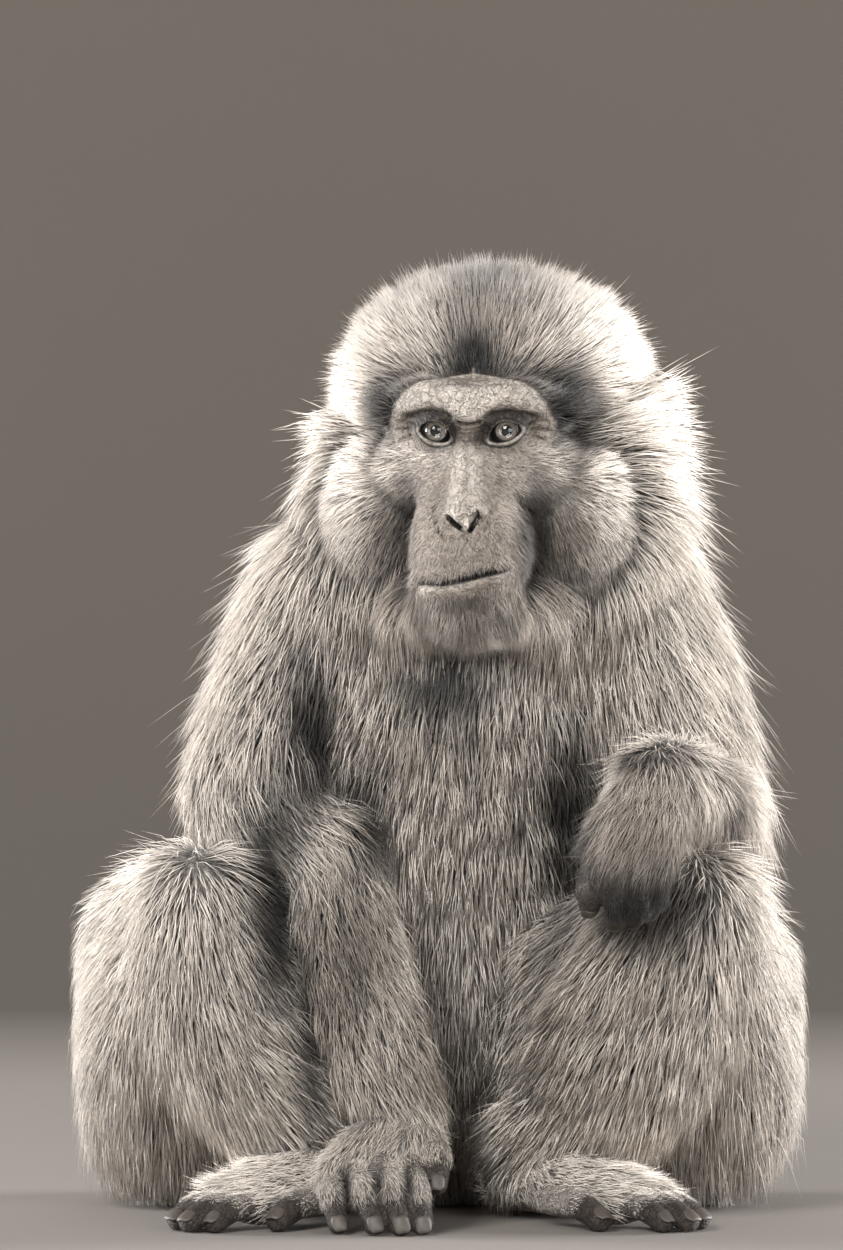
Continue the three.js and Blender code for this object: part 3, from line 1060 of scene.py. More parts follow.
@dataclass
class Skin:
    """The one skin under the coat, finely divided where it is bare."""

    body: Body
    shift: Array
    pitch: float = 1.6
    band: float = 3.0  # how far beyond the surface the grid is worked out
    spare: float = 0.18  # the share of faces kept where the coat hides them
    rounds: int = 3  # how often marked points are moved onto the surface
    ease: float = 0.4  # how far each round evens them first
    stride: float = 1.5  # the most that a round moves them

    def build(self) -> Object:
        """Makes the skin's mesh, coarse under the coat and fine on the face, hands and feet.

        Returns:
            The skin.
        """
        shell = self.net()
        log.info("skin: %d quads in the first net", len(shell.quads))
        shell.points += self.shift
        skin = new_object("skin", mesh_from("skin", shell))
        self.thin_out(skin)
        for level, keep in enumerate((self.on_face, self.on_features)):
            self.divide(skin, keep)
            self.settle(skin, keep)
            log.info("skin: %d faces after level %d", len(skin.data.polygons), level + 1)
        return skin

    def net(self) -> Shell:
        """The first, even net round the whole body.

        Returns:
            The net, in the animal's frame.
        """
        low, high = (np.array(corner) / MM - self.shift for corner in cad_box)
        low, high = low - 6, high + 6
        coarse = self.pitch * 4
        sizes = np.ceil((high - low) / coarse).astype(int) + 1
        nodes = np.stack(np.meshgrid(*(np.arange(n) for n in sizes), indexing="ij"), axis=-1).reshape(-1, 3)
        rough = self.body.distance(low + nodes * coarse).reshape(sizes)
        near = np.abs(rough) < coarse * math.sqrt(3) / 2 + self.band
        fine = np.repeat(np.repeat(np.repeat(near, 4, 0), 4, 1), 4, 2)
        values = np.where(np.repeat(np.repeat(np.repeat(rough, 4, 0), 4, 1), 4, 2) < 0, -FAR, FAR)
        start = low - 1.5 * self.pitch  # a coarse node stands in the middle of its four fine ones
        found = np.argwhere(fine)
        for chunk in np.array_split(found, max(1, len(found) // 400_000)):
            values[tuple(chunk.T)] = self.body.distance(start + chunk * self.pitch)
        return surface_net(values.astype(np.float32), start, self.pitch)

    def places(self, mesh: Mesh) -> Array:
        """The x, y and z of a mesh's points in the head's frame."""
        return self.body.head.to_head(mesh_points(mesh) - self.shift).T

    def on_face(self, mesh: Mesh) -> Array:
        """1 at the points of the face."""
        x, y, z = self.places(mesh)
        return ((np.abs(x) < 50) & (y < -24) & (z > -116) & (z < 32)).astype(float)

    def on_features(self, mesh: Mesh) -> Array:
        """1 at the points round the eyes, nostrils and mouth.

        Args:
            mesh: The skin's mesh.

        Returns:
            1 or 0 for each point.
        """
        x, y, z = self.places(mesh)
        x = np.abs(x)
        eyes = (x < 34) & (z > -12) & (z < 13)
        nose = (x < 14) & (z > -62) & (z < -36)
        mouth = (x < 34) & (z > -86) & (z < -64)
        return ((eyes | nose | mouth) & (y < -44)).astype(float)

    def on_ends(self, mesh: Mesh) -> Array:
        """1 at the points of the hands and feet.

        Args:
            mesh: The skin's mesh.

        Returns:
            1 or 0 for each point.
        """
        points = mesh_points(mesh) - self.shift
        nearest = np.full(len(points), FAR)
        for limb_end in LIMB_ENDS:
            for member in limb_end.members():
                nearest = np.minimum(nearest, member.shape.distance(points))
        return (nearest < 3).astype(float)

    def thin_out(self, skin: Object) -> None:
        """Merges faces where the coat hides the skin.

        Args:
            skin: The skin.
        """
        mesh = skin.data
        kept = np.maximum(self.on_face(mesh), self.on_ends(mesh))
        group = skin.vertex_groups.new(name="hidden")
        group.add(np.flatnonzero(kept < 0.5).tolist(), 1.0, "REPLACE")
        hidden = 1 - kept.mean()
        decimate = skin.modifiers.new("thin out", "DECIMATE")
        decimate.ratio = 1 - hidden * (1 - self.spare)
        decimate.vertex_group = "hidden"
        decimate.vertex_group_factor = 1000.0
        self.bake_modifiers(skin)
        log.info("skin: %d faces after thinning, %.0f %% hidden", len(skin.data.polygons), hidden * 100)

    def bake_modifiers(self, skin: Object) -> None:
        """Replaces the skin's mesh by what its modifiers make of it.

        Args:
            skin: The skin.
        """
        made = bpy.data.meshes.new_from_object(skin.evaluated_get(bpy.context.evaluated_depsgraph_get()))
        skin.modifiers.clear()
        skin.vertex_groups.clear()
        old, skin.data = skin.data, made
        bpy.data.meshes.remove(old)
        made.name = "skin"

    def divide(self, skin: Object, keep: Callable[[Mesh], Array]) -> None:
        """Divides the faces all of whose corners `keep` marks.

        Args:
            skin: The skin.
            keep: Gives 1 at a mesh's marked points.
        """
        marked = keep(skin.data) > 0.5
        bm = bmesh.new()
        bm.from_mesh(skin.data)
        bm.verts.ensure_lookup_table()
        edges = [e for e in bm.edges if marked[e.verts[0].index] and marked[e.verts[1].index]]
        bmesh.ops.subdivide_edges(bm, edges=edges, cuts=1, use_grid_fill=True)
        bm.to_mesh(skin.data)
        bm.free()

    def settle(self, skin: Object, keep: Callable[[Mesh], Array]) -> None:
        """Moves the marked points onto the surface that the body's shapes say.

        Args:
            skin: The skin.
            keep: Gives 1 at a mesh's marked points.
        """
        points = mesh_points(skin.data) - self.shift
        edges = mesh_edges(skin.data)
        moving = np.flatnonzero(keep(skin.data) > 0.5)
        reach = 0.25  # the step that slopes are measured over
        for _ in range(self.rounds):
            relaxed = evened(points, edges, 1)
            points[moving] += self.ease * (relaxed[moving] - points[moving])
            here = points[moving]
            d = self.body.distance(here)
            slope = np.stack([self.body.distance(here + reach * axis) - d for axis in np.eye(3)], axis=1) / reach
            steep = np.maximum((slope**2).sum(axis=1), 0.5)
            points[moving] = here - slope * (np.clip(d, -self.stride, self.stride) / steep)[:, None]
        skin.data.vertices.foreach_set("co", ((points + self.shift) * MM).astype(np.float32).ravel())
        skin.data.update()


# ---- the coat's mesh


@dataclass
class Roots:
    """Where locks of the coat grow, and how each of them grows."""

    points: Array
    normals: Array
    lies: Array  # the way each lock lies
    member: Array  # the number of the body's member under each root
    scale: Array  # 1 in full coat, less towards bare skin
    colours: Array
    uvs: Array

    def where(self, mask: Array) -> "Roots":
        """The roots that a mask picks out."""
        return Roots(*(getattr(self, name)[mask] for name in self.__dataclass_fields__))


@dataclass
class Coat:
    """The fur: thin solid locks over the skin, lying the way the coat lies."""

    body: Body
    shift: Array
    skin: Object
    most_faces: int = 196_000  # in one piece
    patch: float = 0.003  # the width of a lock's patch on the unwrap
    clump: float = 9.0  # how far apart the locks' gathering points are
    pull: float = 0.32  # how far tips draw together
    proud: float = 9.0  # how far locks may stand past the frame's box
    plain: float = 18.0  # a shorter lock has a plainer shape
    tries: float = 2.6  # roots scattered for each one that is wanted
    sample: float = 0.3
    smoothing: int = 24  # rounds that even out the way the coat lies
    shortest: float = 0.35  # a lock's scale at the edge of bare skin
    shown: float = 0.6  # how far along a lock its colour is taken
    loose: float = 0.05  # the share of locks that stray
    buried: float = 0.6  # how deep under the skin a lock starts
    contrast: float = 0.32  # how much locks differ in lightness
    rng: np.random.Generator = field(default_factory=lambda: np.random.default_rng(SEED))

    def build(self) -> list[Object]:
        """Grows the coat and parts it into pieces by the body's parts.

        Returns:
            The pieces.
        """
        roots = self.sow()
        log.info("coat: %d locks", len(roots.points))
        names = np.array([member.part for member in self.body.members])[roots.member]
        groups = np.array([COAT_PIECES.get(name, name) for name in names])
        pieces = []
        for group in sorted(set(groups)):
            chosen = roots.where(groups == group)
            for number, part in enumerate(self.shares(chosen), start=1):
                pieces.append(self.piece(f"coat_{group}_{number}", part))
        return pieces

    def shares(self, roots: Roots) -> list[Roots]:
        """Parts roots into as many pieces as the limit on faces asks for, by height.

        Args:
            roots: All roots of one part.

        Returns:
            The roots of each piece.
        """
        faces = np.where(self.is_short(roots), SHORT_LOCK.faces, LONG_LOCK.faces)
        count = int(np.ceil(faces.sum() / self.most_faces))
        order = np.argsort(roots.points[:, 2])
        level = np.empty(len(order))
        level[order] = np.cumsum(faces[order]) / faces.sum() * count
        bands = np.minimum(level.astype(int), count - 1)
        return [roots.where(bands == band) for band in range(count)]

    def growths(self, member: Array) -> dict[str, Array]:
        """The coat's values at each root, by name.

        Args:
            member: The numbers of the members under the points.

        Returns:
            One value for each point, by name.
        """
        names = ("length", "lift", "lay", "width", "stray")
        table = np.array([[getattr(m.growth.value, name) for name in names] for m in self.body.members])
        return dict(zip(names, table[member].T))

    def is_short(self, roots: Roots) -> Array:
        """Which locks are short enough for a plainer shape."""
        return self.growths(roots.member)["length"] * roots.scale < self.plain

    def lies(self, points: Array, normals: Array, member: Array) -> Array:
        """The way the coat lies at points of the skin, before it is evened out.

        Args:
            points: Places in the animal's frame.
            normals: The skin's outward directions.
            member: The numbers of the members under the points.

        Returns:
            One direction for each.
        """
        lies = np.tile(DOWN, (len(points), 1))
        for k, one in enumerate(self.body.members):
            here = np.flatnonzero(member == k)
            if len(here) == 0:
                continue
            if one.part in HEAD_PARTS:
                lies[here] = self.body.head.lie(points[here])
            elif isinstance(one.shape, Tube):
                lies[here] = one.toward * one.shape.directions(points[here]) + np.array(one.hang)
        return unit(lies - normals * (lies * normals).sum(axis=1)[:, None])

    def sow(self) -> Roots:
        """Scatters roots over the skin, evenly, and reads the skin's values at each.

        Returns:
            The roots.
        """
        mesh = self.skin.data
        mesh.calc_loop_triangles()
        triangles = read(mesh.loop_triangles, "vertices", 3, np.int32)
        points = mesh_points(mesh) - self.shift
        normals = read(mesh.vertices, "normal", 3).astype(float)
        member = self.body.owners(points)
        edges = mesh_edges(mesh)
        lies = evened(self.lies(points, normals, member), edges, self.smoothing)
        local = self.body.head.to_head(points)
        furred = 1 - self.body.head.outline(local)
        fuzz = np.maximum(self.body.head.fuzz(local), furred)
        furred = np.where(self.body.grows(member, Growth.FACE), fuzz, furred)
        furred *= self.hairy(points, normals, member)

        corners = points[triangles]
        areas = np.linalg.norm(np.cross(corners[:, 1] - corners[:, 0], corners[:, 2] - corners[:, 0]), axis=1) / 2
        owner = member[triangles[:, 0]]
        spacing = np.array([m.growth.value.spacing for m in self.body.members])[owner]
        wanted = self.tries * areas / spacing**2 * (furred[triangles].mean(axis=1) > 0.02)
        counts = self.rng.poisson(wanted)
        tri = np.repeat(np.arange(len(triangles)), counts)
        a, b = self.rng.random((2, len(tri)))
        a, b = np.where(a + b > 1, 1 - a, a), np.where(a + b > 1, 1 - b, b)
        weights = np.stack([1 - a - b, a, b], axis=1)[:, :, None]
        chosen = triangles[tri]
        places = (points[chosen] * weights).sum(axis=1)
        keep = self.thinned(places, spacing[tri])
        chosen, weights, places = chosen[keep], weights[keep], places[keep]
        grown = (furred[chosen][:, :, None] * weights).sum(axis=1)[:, 0]
        member = owner[tri[keep]]
        normal = unit((normals[chosen] * weights).sum(axis=1))
        lie = (lies[chosen] * weights).sum(axis=1)
        lie = unit(lie - normal * (lie * normal).sum(axis=1)[:, None])
        stays = self.rng.random(len(places)) < np.clip(grown * 1.6, 0, 1)
        scale = self.shortest + (1 - self.shortest) * grown
        reach = self.body.head.fuzz_reach(self.body.head.to_head(places))
        scale *= np.where(self.body.grows(member, Growth.FACE), reach, 1.0)
        seen = self.shown * self.growths(member)["length"] * scale
        colours = markings(self.body, places + lie * seen[:, None])
        roots = Roots(places, normal, lie, member, scale, colours, self.unwrap(places, member))
        return roots.where(stays)

    def hairy(self, points: Array, normals: Array, member: Array) -> Array:
        """1 where hair grows, 0 on palms, soles, fingertips and what rests on the floor.

        Args:
            points: Places in the animal's frame.
            normals: The skin's outward directions.
            member: The numbers of the members under the points.

        Returns:
            A share for each.
        """
        is_digit = self.body.grows(member, Growth.FINGER, Growth.TOE)
        hair = 1 - fade(points[:, 2], 3.0, 1.0)
        for digit in DIGITS:
            away = np.linalg.norm(points - np.array(digit.tip), axis=1)
            hair = np.where(is_digit, hair * fade(away, digit.radius * 1.3, digit.radius * 2.6), hair)
        under = self.body.grows(member, Growth.FINGER, Growth.TOE, Growth.FOOT)
        return np.where(under, hair * fade(normals[:, 2], -0.75, -0.25), hair)

    def thinned(self, places: Array, spacing: Array) -> Array:
        """One place for each small cube of space, so that the roots are even.

        Args:
            places: Places in the animal's frame.
            spacing: How far apart roots stand at each.

        Returns:
            The numbers of those that are kept.
        """
        cubes = np.floor(places / spacing[:, None]).astype(np.int64)
        keys = (cubes[:, 0] * 4096 + cubes[:, 1]) * 4096 + cubes[:, 2] + (spacing * 100).astype(np.int64) * 2**40
        return np.sort(np.unique(keys, return_index=True)[1])

    def unwrap(self, places: Array, member: Array) -> Array:
        """Each place on an unwrap of the skin: round the part and along it, both from 0 to 1.

        Args:
            places: Places in the animal's frame.
            member: The numbers of the members under the points.

        Returns:
            Rows of u and v.
        """
        uvs = np.zeros((len(places), 2))
        for group in set(COAT_PIECES.get(m.part, m.part) for m in self.body.members):
            inside = [k for k, m in enumerate(self.body.members) if COAT_PIECES.get(m.part, m.part) == group]
            here = np.flatnonzero(np.isin(member, inside))
            if len(here) < 3:
                continue
            away = places[here] - places[here].mean(axis=0)
            axes = np.linalg.svd(away[:: max(1, len(away) // 2000)], full_matrices=False)[2]
            u, v, w = (away @ axes.T).T
            turn = np.arctan2(w, v) / (2 * math.pi) + 0.5
            uvs[here] = np.stack([turn, (u - u.min()) / (u.max() - u.min())], axis=1)
        return uvs

    def piece(self, name: str, roots: Roots) -> Object:
        """Makes one mesh of locks.

        Args:
            name: Its name.
            roots: Where its locks grow.

        Returns:
            The piece.
        """
        short = self.is_short(roots)
        parts = [self.locks(roots.where(short), SHORT_LOCK), self.locks(roots.where(~short), LONG_LOCK)]
        parts = [part for part in parts if len(part[0])]
        starts = np.cumsum([0, *(len(part[0]) for part in parts)])
        points = np.concatenate([part[0] for part in parts])
        faces = np.concatenate([part[1] + start for part, start in zip(parts, starts)])
        mesh = mesh_from(name, Shell(points + self.shift, faces))
        tint = mesh.color_attributes.new("Tint", "FLOAT_COLOR", "POINT")
        tint.data.foreach_set("color", np.concatenate([part[2] for part in parts]).astype(np.float32).ravel())
        uvs = np.concatenate([part[3] for part in parts])
        layer = mesh.uv_layers.new(name="OFBake")
        layer.data.foreach_set("uv", uvs[faces.ravel()].astype(np.float32).ravel())
        log.info("%s: %d locks, %d faces", name, len(roots.points), len(faces))
        return new_object(name, mesh)

    def locks(self, roots: Roots, shape: "Lock") -> tuple[Array, Array, Array, Array]:
        """Grows one lock from each root.

        Args:
            roots: Where the locks grow.
            shape: The rings that each lock is made of.

        Returns:
            The points, the faces, each point's tint and each point's place on the unwrap.
        """
        count = len(roots.points)
        if count == 0:
            empty = np.zeros((0, 3))
            return empty, empty.astype(int), np.zeros((0, 4)), np.zeros((0, 2))
        rng = self.rng
        grow = self.growths(roots.member)
        stray = rng.random(count) < self.loose
        bunch = self.bunches(roots.points)
        bunch_luck = rng.normal(0, 1, bunch.max() + 1)[bunch]
        length = grow["length"] * roots.scale * (1 + 0.10 * bunch_luck + 0.14 * rng.normal(0, 1, count))
        length = np.maximum(length, 1.0) * np.where(stray, 1.12, 1.0)
        lift = np.radians(grow["lift"] + 7 * rng.normal(0, 1, count) + 4 * bunch_luck) * np.where(stray, 1.3, 1.0)
        lay = np.radians(grow["lay"] + 6 * rng.normal(0, 1, count)) + np.where(stray, 0.26, 0.0)
        turn = np.radians(grow["stray"]) * rng.normal(0, 1, count) + 0.10 * bunch_luck
        across = np.cross(roots.normals, roots.lies)
        curl = np.radians(9) * rng.normal(0, 1, count)

        steps = np.linspace(0, 1, shape.rings + 1)
        spine = np.zeros((count, len(steps), 3))
        ways = np.zeros_like(spine)
        for k, s in enumerate(steps):
            mid = s if k == 0 else (steps[k - 1] + s) / 2
            angle = lift + (lay - lift) * min(1.0, mid * 1.5)
            yaw = turn + curl * mid
            flat = np.cos(yaw)[:, None] * roots.lies + np.sin(yaw)[:, None] * across
            hanging = 1.3 * mid * np.clip(-roots.normals[:, 2:], 0, 1) * DOWN
            ways[:, k] = unit(np.cos(angle)[:, None] * flat + np.sin(angle)[:, None] * roots.normals + hanging)
            if k:
                spine[:, k] = spine[:, k - 1] + ways[:, k] * (length * (s - steps[k - 1]))[:, None]
        spine += (roots.points - roots.normals * self.buried)[:, None, :]
        size = np.bincount(bunch)
        tips = np.stack([np.bincount(bunch, spine[:, -1, axis]) / size for axis in range(3)], axis=1)[bunch]
        draw = (tips - spine[:, -1])[:, None, :] * (self.pull * steps**1.6)[None, :, None]
        spine += draw * np.where(stray, 0.0, 1.0)[:, None, None]
        spine = self.trimmed(spine)

        out = unit(roots.normals[:, None, :] - ways * (roots.normals[:, None, :] * ways).sum(axis=-1, keepdims=True))
        wide = np.cross(ways, out)
        half = grow["width"] / 2 * (0.8 + 0.4 * rng.random(count)) * np.where(roots.scale < 0.8, 0.75, 1.0)
        half *= np.where(stray, 0.6, 1.0)
        rings = []
        for k, share in enumerate(shape.profile):
            w = (half * share)[:, None]
            rings += [spine[:, k] + wide[:, k] * w, spine[:, k] - wide[:, k] * w, spine[:, k] + out[:, k] * w * 0.8]
        points = np.stack([*rings, spine[:, -1]], axis=1)
        per_lock = points.shape[1]
        faces = (np.arange(count) * per_lock)[:, None, None] + shape.pattern()[None]

        tint = np.empty((count, per_lock, 4))
        along = np.concatenate([np.repeat(steps[:-1], 3), [1.0]])
        light = 1 + self.contrast * rng.normal(0, 1, count) + 0.08 * bunch_luck
        shades = roots.colours * np.maximum(light, 0.25)[:, None]
        shades *= np.minimum(1, PALEST / shades.max(axis=1))[:, None]
        tint[:, :, :3] = shades[:, None, :]
        tint[:, :, 3] = along[None, :]
        side = np.concatenate([np.tile((-0.5, 0.5, 0.0), shape.rings), [0.0]])
        spots = np.stack([side, along], axis=1) * self.patch
        uvs = roots.uvs[:, None, :] * (1 - self.patch) + spots[None, :, :]
        flat_points = points.reshape(-1, 3)
        flat_points[:, 2] = np.maximum(flat_points[:, 2], FLOOR_CLEARANCE / 2)
        return flat_points, faces.reshape(-1, 3), tint.reshape(-1, 4), np.clip(uvs, 0, 1).reshape(-1, 2)

    def trimmed(self, spine: Array) -> Array:
        """Draws in the few locks that would reach past the animal's outline or the floor.

        Args:
            spine: Each lock's middle points.

        Returns:
            The points, drawn in.
        """
        low, high = (np.array(corner) / MM - self.shift for corner in cad_box)
        low, high = low - self.proud, high + self.proud
        low[2] = FLOOR_CLEARANCE + 0.3
        soft = 6.0
        over = np.maximum(spine - (high - soft), 0)
        under = np.maximum((low + soft) - spine, 0)
        under[:, :, 2] = np.maximum(low[2] - spine[:, :, 2], 0)
        inward = spine - over + soft * (1 - np.exp(-over / soft))
        drawn = inward + under - soft * (1 - np.exp(-under / soft))
        drawn[:, :, 2] = np.maximum(inward[:, :, 2], low[2])
        return drawn

    def bunches(self, points: Array) -> Array:
        """The number of the bunch that each root's lock draws towards.

        Args:
            points: Places in the animal's frame.

        Returns:
            One value for each.
        """
        shaken = points + self.rng.normal(0, 0.22 * self.clump, points.shape)
        cubes = np.floor(shaken / self.clump).astype(np.int64)
        keys = (cubes[:, 0] * 4096 + cubes[:, 1]) * 4096 + cubes[:, 2]
        return np.unique(keys, return_inverse=True)[1].ravel()


@dataclass(frozen=True)
class Lock:
    """A lock's make-up: rings of three corners from its root, then a point."""

    profile: tuple[float, ...]  # each ring's share of the lock's half-width

    @property
    def rings(self) -> int:
        """How many rings there are."""
        return len(self.profile)

    @property
    def faces(self) -> int:
        """How many triangles one lock has."""
        return 6 * (self.rings - 1) + 4

    def pattern(self) -> Array:
        """The triangles of one lock, by the numbers of its points.

        Returns:
            Rows of three numbers.
        """
        faces = [(0, 2, 1)]
        for r in range(self.rings - 1):
            for k in range(3):
                a, b = 3 * r + k, 3 * r + (k + 1) % 3
                faces += [(a, b, b + 3), (a, b + 3, a + 3)]
        last, tip = 3 * (self.rings - 1), 3 * self.rings
        faces += [(last + k, last + (k + 1) % 3, tip) for k in range(3)]
        return np.array(faces)


LONG_LOCK = Lock((0.9, 0.85))
SHORT_LOCK = Lock((1.0,))
COAT_PIECES = {"face": "head", "ear_right": "head", "ear_left": "head"}


# ---- colours, markings and painted shade


def tone(red: int, green: int, blue: int) -> Array:
    """A colour given as screen values from 0 to 255, in linear light."""
    c = np.array((red, green, blue)) / 255
    return np.where(c <= 0.04045, c / 12.92, ((c + 0.055) / 1.055) ** 2.4)


@dataclass(frozen=True)
class Marking:
    """A soft patch of another colour, in the animal's frame or the head's: a marking of the coat, or painted shade in a
    fold or a gap.
    """

    centre: Point
    halves: Point
    colour: Shade
    strength: float
    on_head: bool = False

    def share(self, points: Array, local: Array) -> Array:
        """How strongly the patch colours each point."""
        away = (local if self.on_head else points) - np.array(self.centre)
        return self.strength * np.exp(-((away / np.array(self.halves)) ** 2).sum(axis=1))


COAT_COLOUR = (233, 223, 212)
FACE_COLOUR = (156, 146, 136)
FINGERTIP_COLOUR = (62, 55, 50)
# Painted shade: the skin under the coat is darkened to this share of the coat's colour, as in the coat's depth.
UNDERCOAT_SHADE = 0.34  # how light the skin is under the coat, beside the coat
# The coat's markings, and painted shade where folds and gaps between parts lie in shadow.
COAT_MARKS_AND_SHADE = [Marking(*row) for row in (
    ((0, -75, -36), (38, 30, 36), (166, 155, 144), 0.75, True),
    ((4, -20, 56), (40, 60, 28), (150, 139, 129), 0.62, True),
    ((0, -14, 84), (44, 60, 26), (150, 139, 129), 0.55, True),
    ((-0.5, -58, 37), (10.5, 34, 12), (10, 9, 8), 0.985, True),
    ((0, -46, 28), (20, 16, 5), (124, 114, 105), 0.35, True),
    ((-36, -45, 27), (12, 30, 7), (96, 88, 80), 0.7, True),
    ((34, -45, 27), (14, 30, 7), (96, 88, 80), 0.7, True),
    ((-46, -36, 15), (9, 30, 17), (36, 32, 29), 0.93, True),
    ((47, -36, 14), (10, 30, 18), (30, 27, 24), 0.95, True),
    ((53, -30, -2), (9, 30, 20), (60, 54, 49), 0.8, True),
    ((-53, -30, -2), (8, 30, 18), (92, 84, 77), 0.65, True),
    # Painted shade on the crown's right side, where the rim light falls strongest.
    ((-50, -14, 50), (24, 70, 34), (150, 139, 129), 0.55, True),
    ((-27, -52, -27), (13, 30, 10), (134, 124, 114), 0.6, True),
    ((0, -60, -90), (32, 40, 15), (158, 147, 137), 0.5, True),
    # Painted shade in the fold under the lower lip.
    ((3, -70, -89), (13, 24, 6), (92, 84, 77), 0.6, True),
    # Painted shade in the hollows beside the muzzle, along its side creases, and at the jaw's corners.
    ((-44, -50, -56), (15, 26, 20), (128, 118, 109), 0.7, True),
    ((-31, -62, -60), (6, 26, 26), (84, 76, 70), 0.85, True),
    ((32, -62, -60), (5, 24, 24), (62, 56, 51), 0.88, True),
    ((-43, -50, -86), (15, 50, 15), (116, 107, 98), 0.7, True),
    ((46, -50, -84), (16, 50, 17), (98, 90, 82), 0.78, True),
    ((-34, -50, -52), (5, 30, 18), (62, 56, 51), 0.85, True),
    ((36, -48, -54), (6, 30, 20), (40, 36, 32), 0.92, True),
    ((52, -46, -58), (14, 26, 20), (134, 124, 114), 0.65, True),
    ((46, -46, -32), (9, 20, 10), (206, 196, 186), 0.6, True),
    # Painted shadow under the chin, and painted shade over the upper chest below the head.
    ((0, -80, 263), (22, 70, 14), (10, 9, 8), 0.99),
    ((4, -80, 232), (46, 70, 32), (134, 124, 115), 0.55),
    # The lower belly: partly its own darker tone, partly painted shade between the thighs.
    ((6, -80, 72), (32, 60, 26), (112, 103, 94), 0.65),
    # Painted shade in the right armpit and elbow's crook, at the right knee's inner edge, and in the gaps from the
    # right shank and the belly to the right forearm.
    ((-71, -60, 244), (11, 70, 34), (14, 12, 11), 0.98),
    ((-64, -60, 220), (8, 60, 20), (84, 77, 70), 0.6),
    ((-38, -60, 202), (9, 60, 22), (28, 25, 22), 0.93),
    ((-87, -100, 164), (10, 80, 42), (9, 8, 7), 0.99),
    ((-68, -100, 98), (6, 70, 38), (30, 27, 24), 0.94),
    ((-9, -80, 122), (8, 70, 40), (104, 95, 87), 0.6),
    ((-46, -95, 132), (20, 60, 52), (122, 113, 104), 0.8),
    ((-30, -130, 44), (34, 46, 20), (176, 166, 155), 0.5),
    # Painted shade in the gaps between the right hand's fingers.
    ((-48, -158, 20), (2.6, 18, 11), (34, 30, 27), 0.9),
    ((-32, -160, 21), (2.6, 18, 11), (34, 30, 27), 0.9),
    ((-17, -160, 21), (2.6, 18, 11), (34, 30, 27), 0.9),
    # Painted shadow in the gap beside the left hand.
    ((62, -80, 196), (12, 90, 42), (10, 9, 8), 0.985),
    ((98, -150, 200), (24, 30, 40), (150, 139, 129), 0.6),
    ((102, -140, 233), (22, 40, 5), (84, 77, 70), 0.7),
    # Painted shadow under the left hand, on the knee below it, and between the left forearm and upper arm at the elbow.
    ((94, -150, 156), (34, 44, 16), (9, 8, 7), 0.985),
    ((106, -110, 138), (24, 60, 14), (116, 107, 98), 0.5),
    ((144, -60, 208), (7, 50, 22), (74, 67, 61), 0.8),
    ((84, -110, 100), (34, 70, 56), (184, 174, 163), 0.45),
    ((56, -100, 110), (12, 60, 50), (140, 130, 120), 0.5),
    ((20, 110, 230), (110, 60, 190), (160, 148, 137), 0.6),
    ((0, 60, 20), (70, 50, 70), (160, 148, 137), 0.6, True),
    ((-116, 60, 30), (90, 70, 26), (150, 139, 129), 0.4),
    ((116, 60, 30), (90, 70, 26), (150, 139, 129), 0.4),
)]


def markings(body: Body, points: Array) -> Array:
    """The coat's colour at points of the animal's frame, with its markings and painted shade, the same for skin and
    coat.

    Args:
        body: The animal.
        points: Places in the animal's frame.

    Returns:
        Linear colours, one for each.
    """
    local = body.head.to_head(points)
    depth = np.tile(np.log(tone(*COAT_COLOUR)), (len(points), 1))  # shades mix by ratio, as the eye sees them
    for mark_or_shade in COAT_MARKS_AND_SHADE:
        share = mark_or_shade.share(points, local)[:, None]
        depth = depth * (1 - share) + np.log(tone(*mark_or_shade.colour)) * share
    return np.exp(depth)


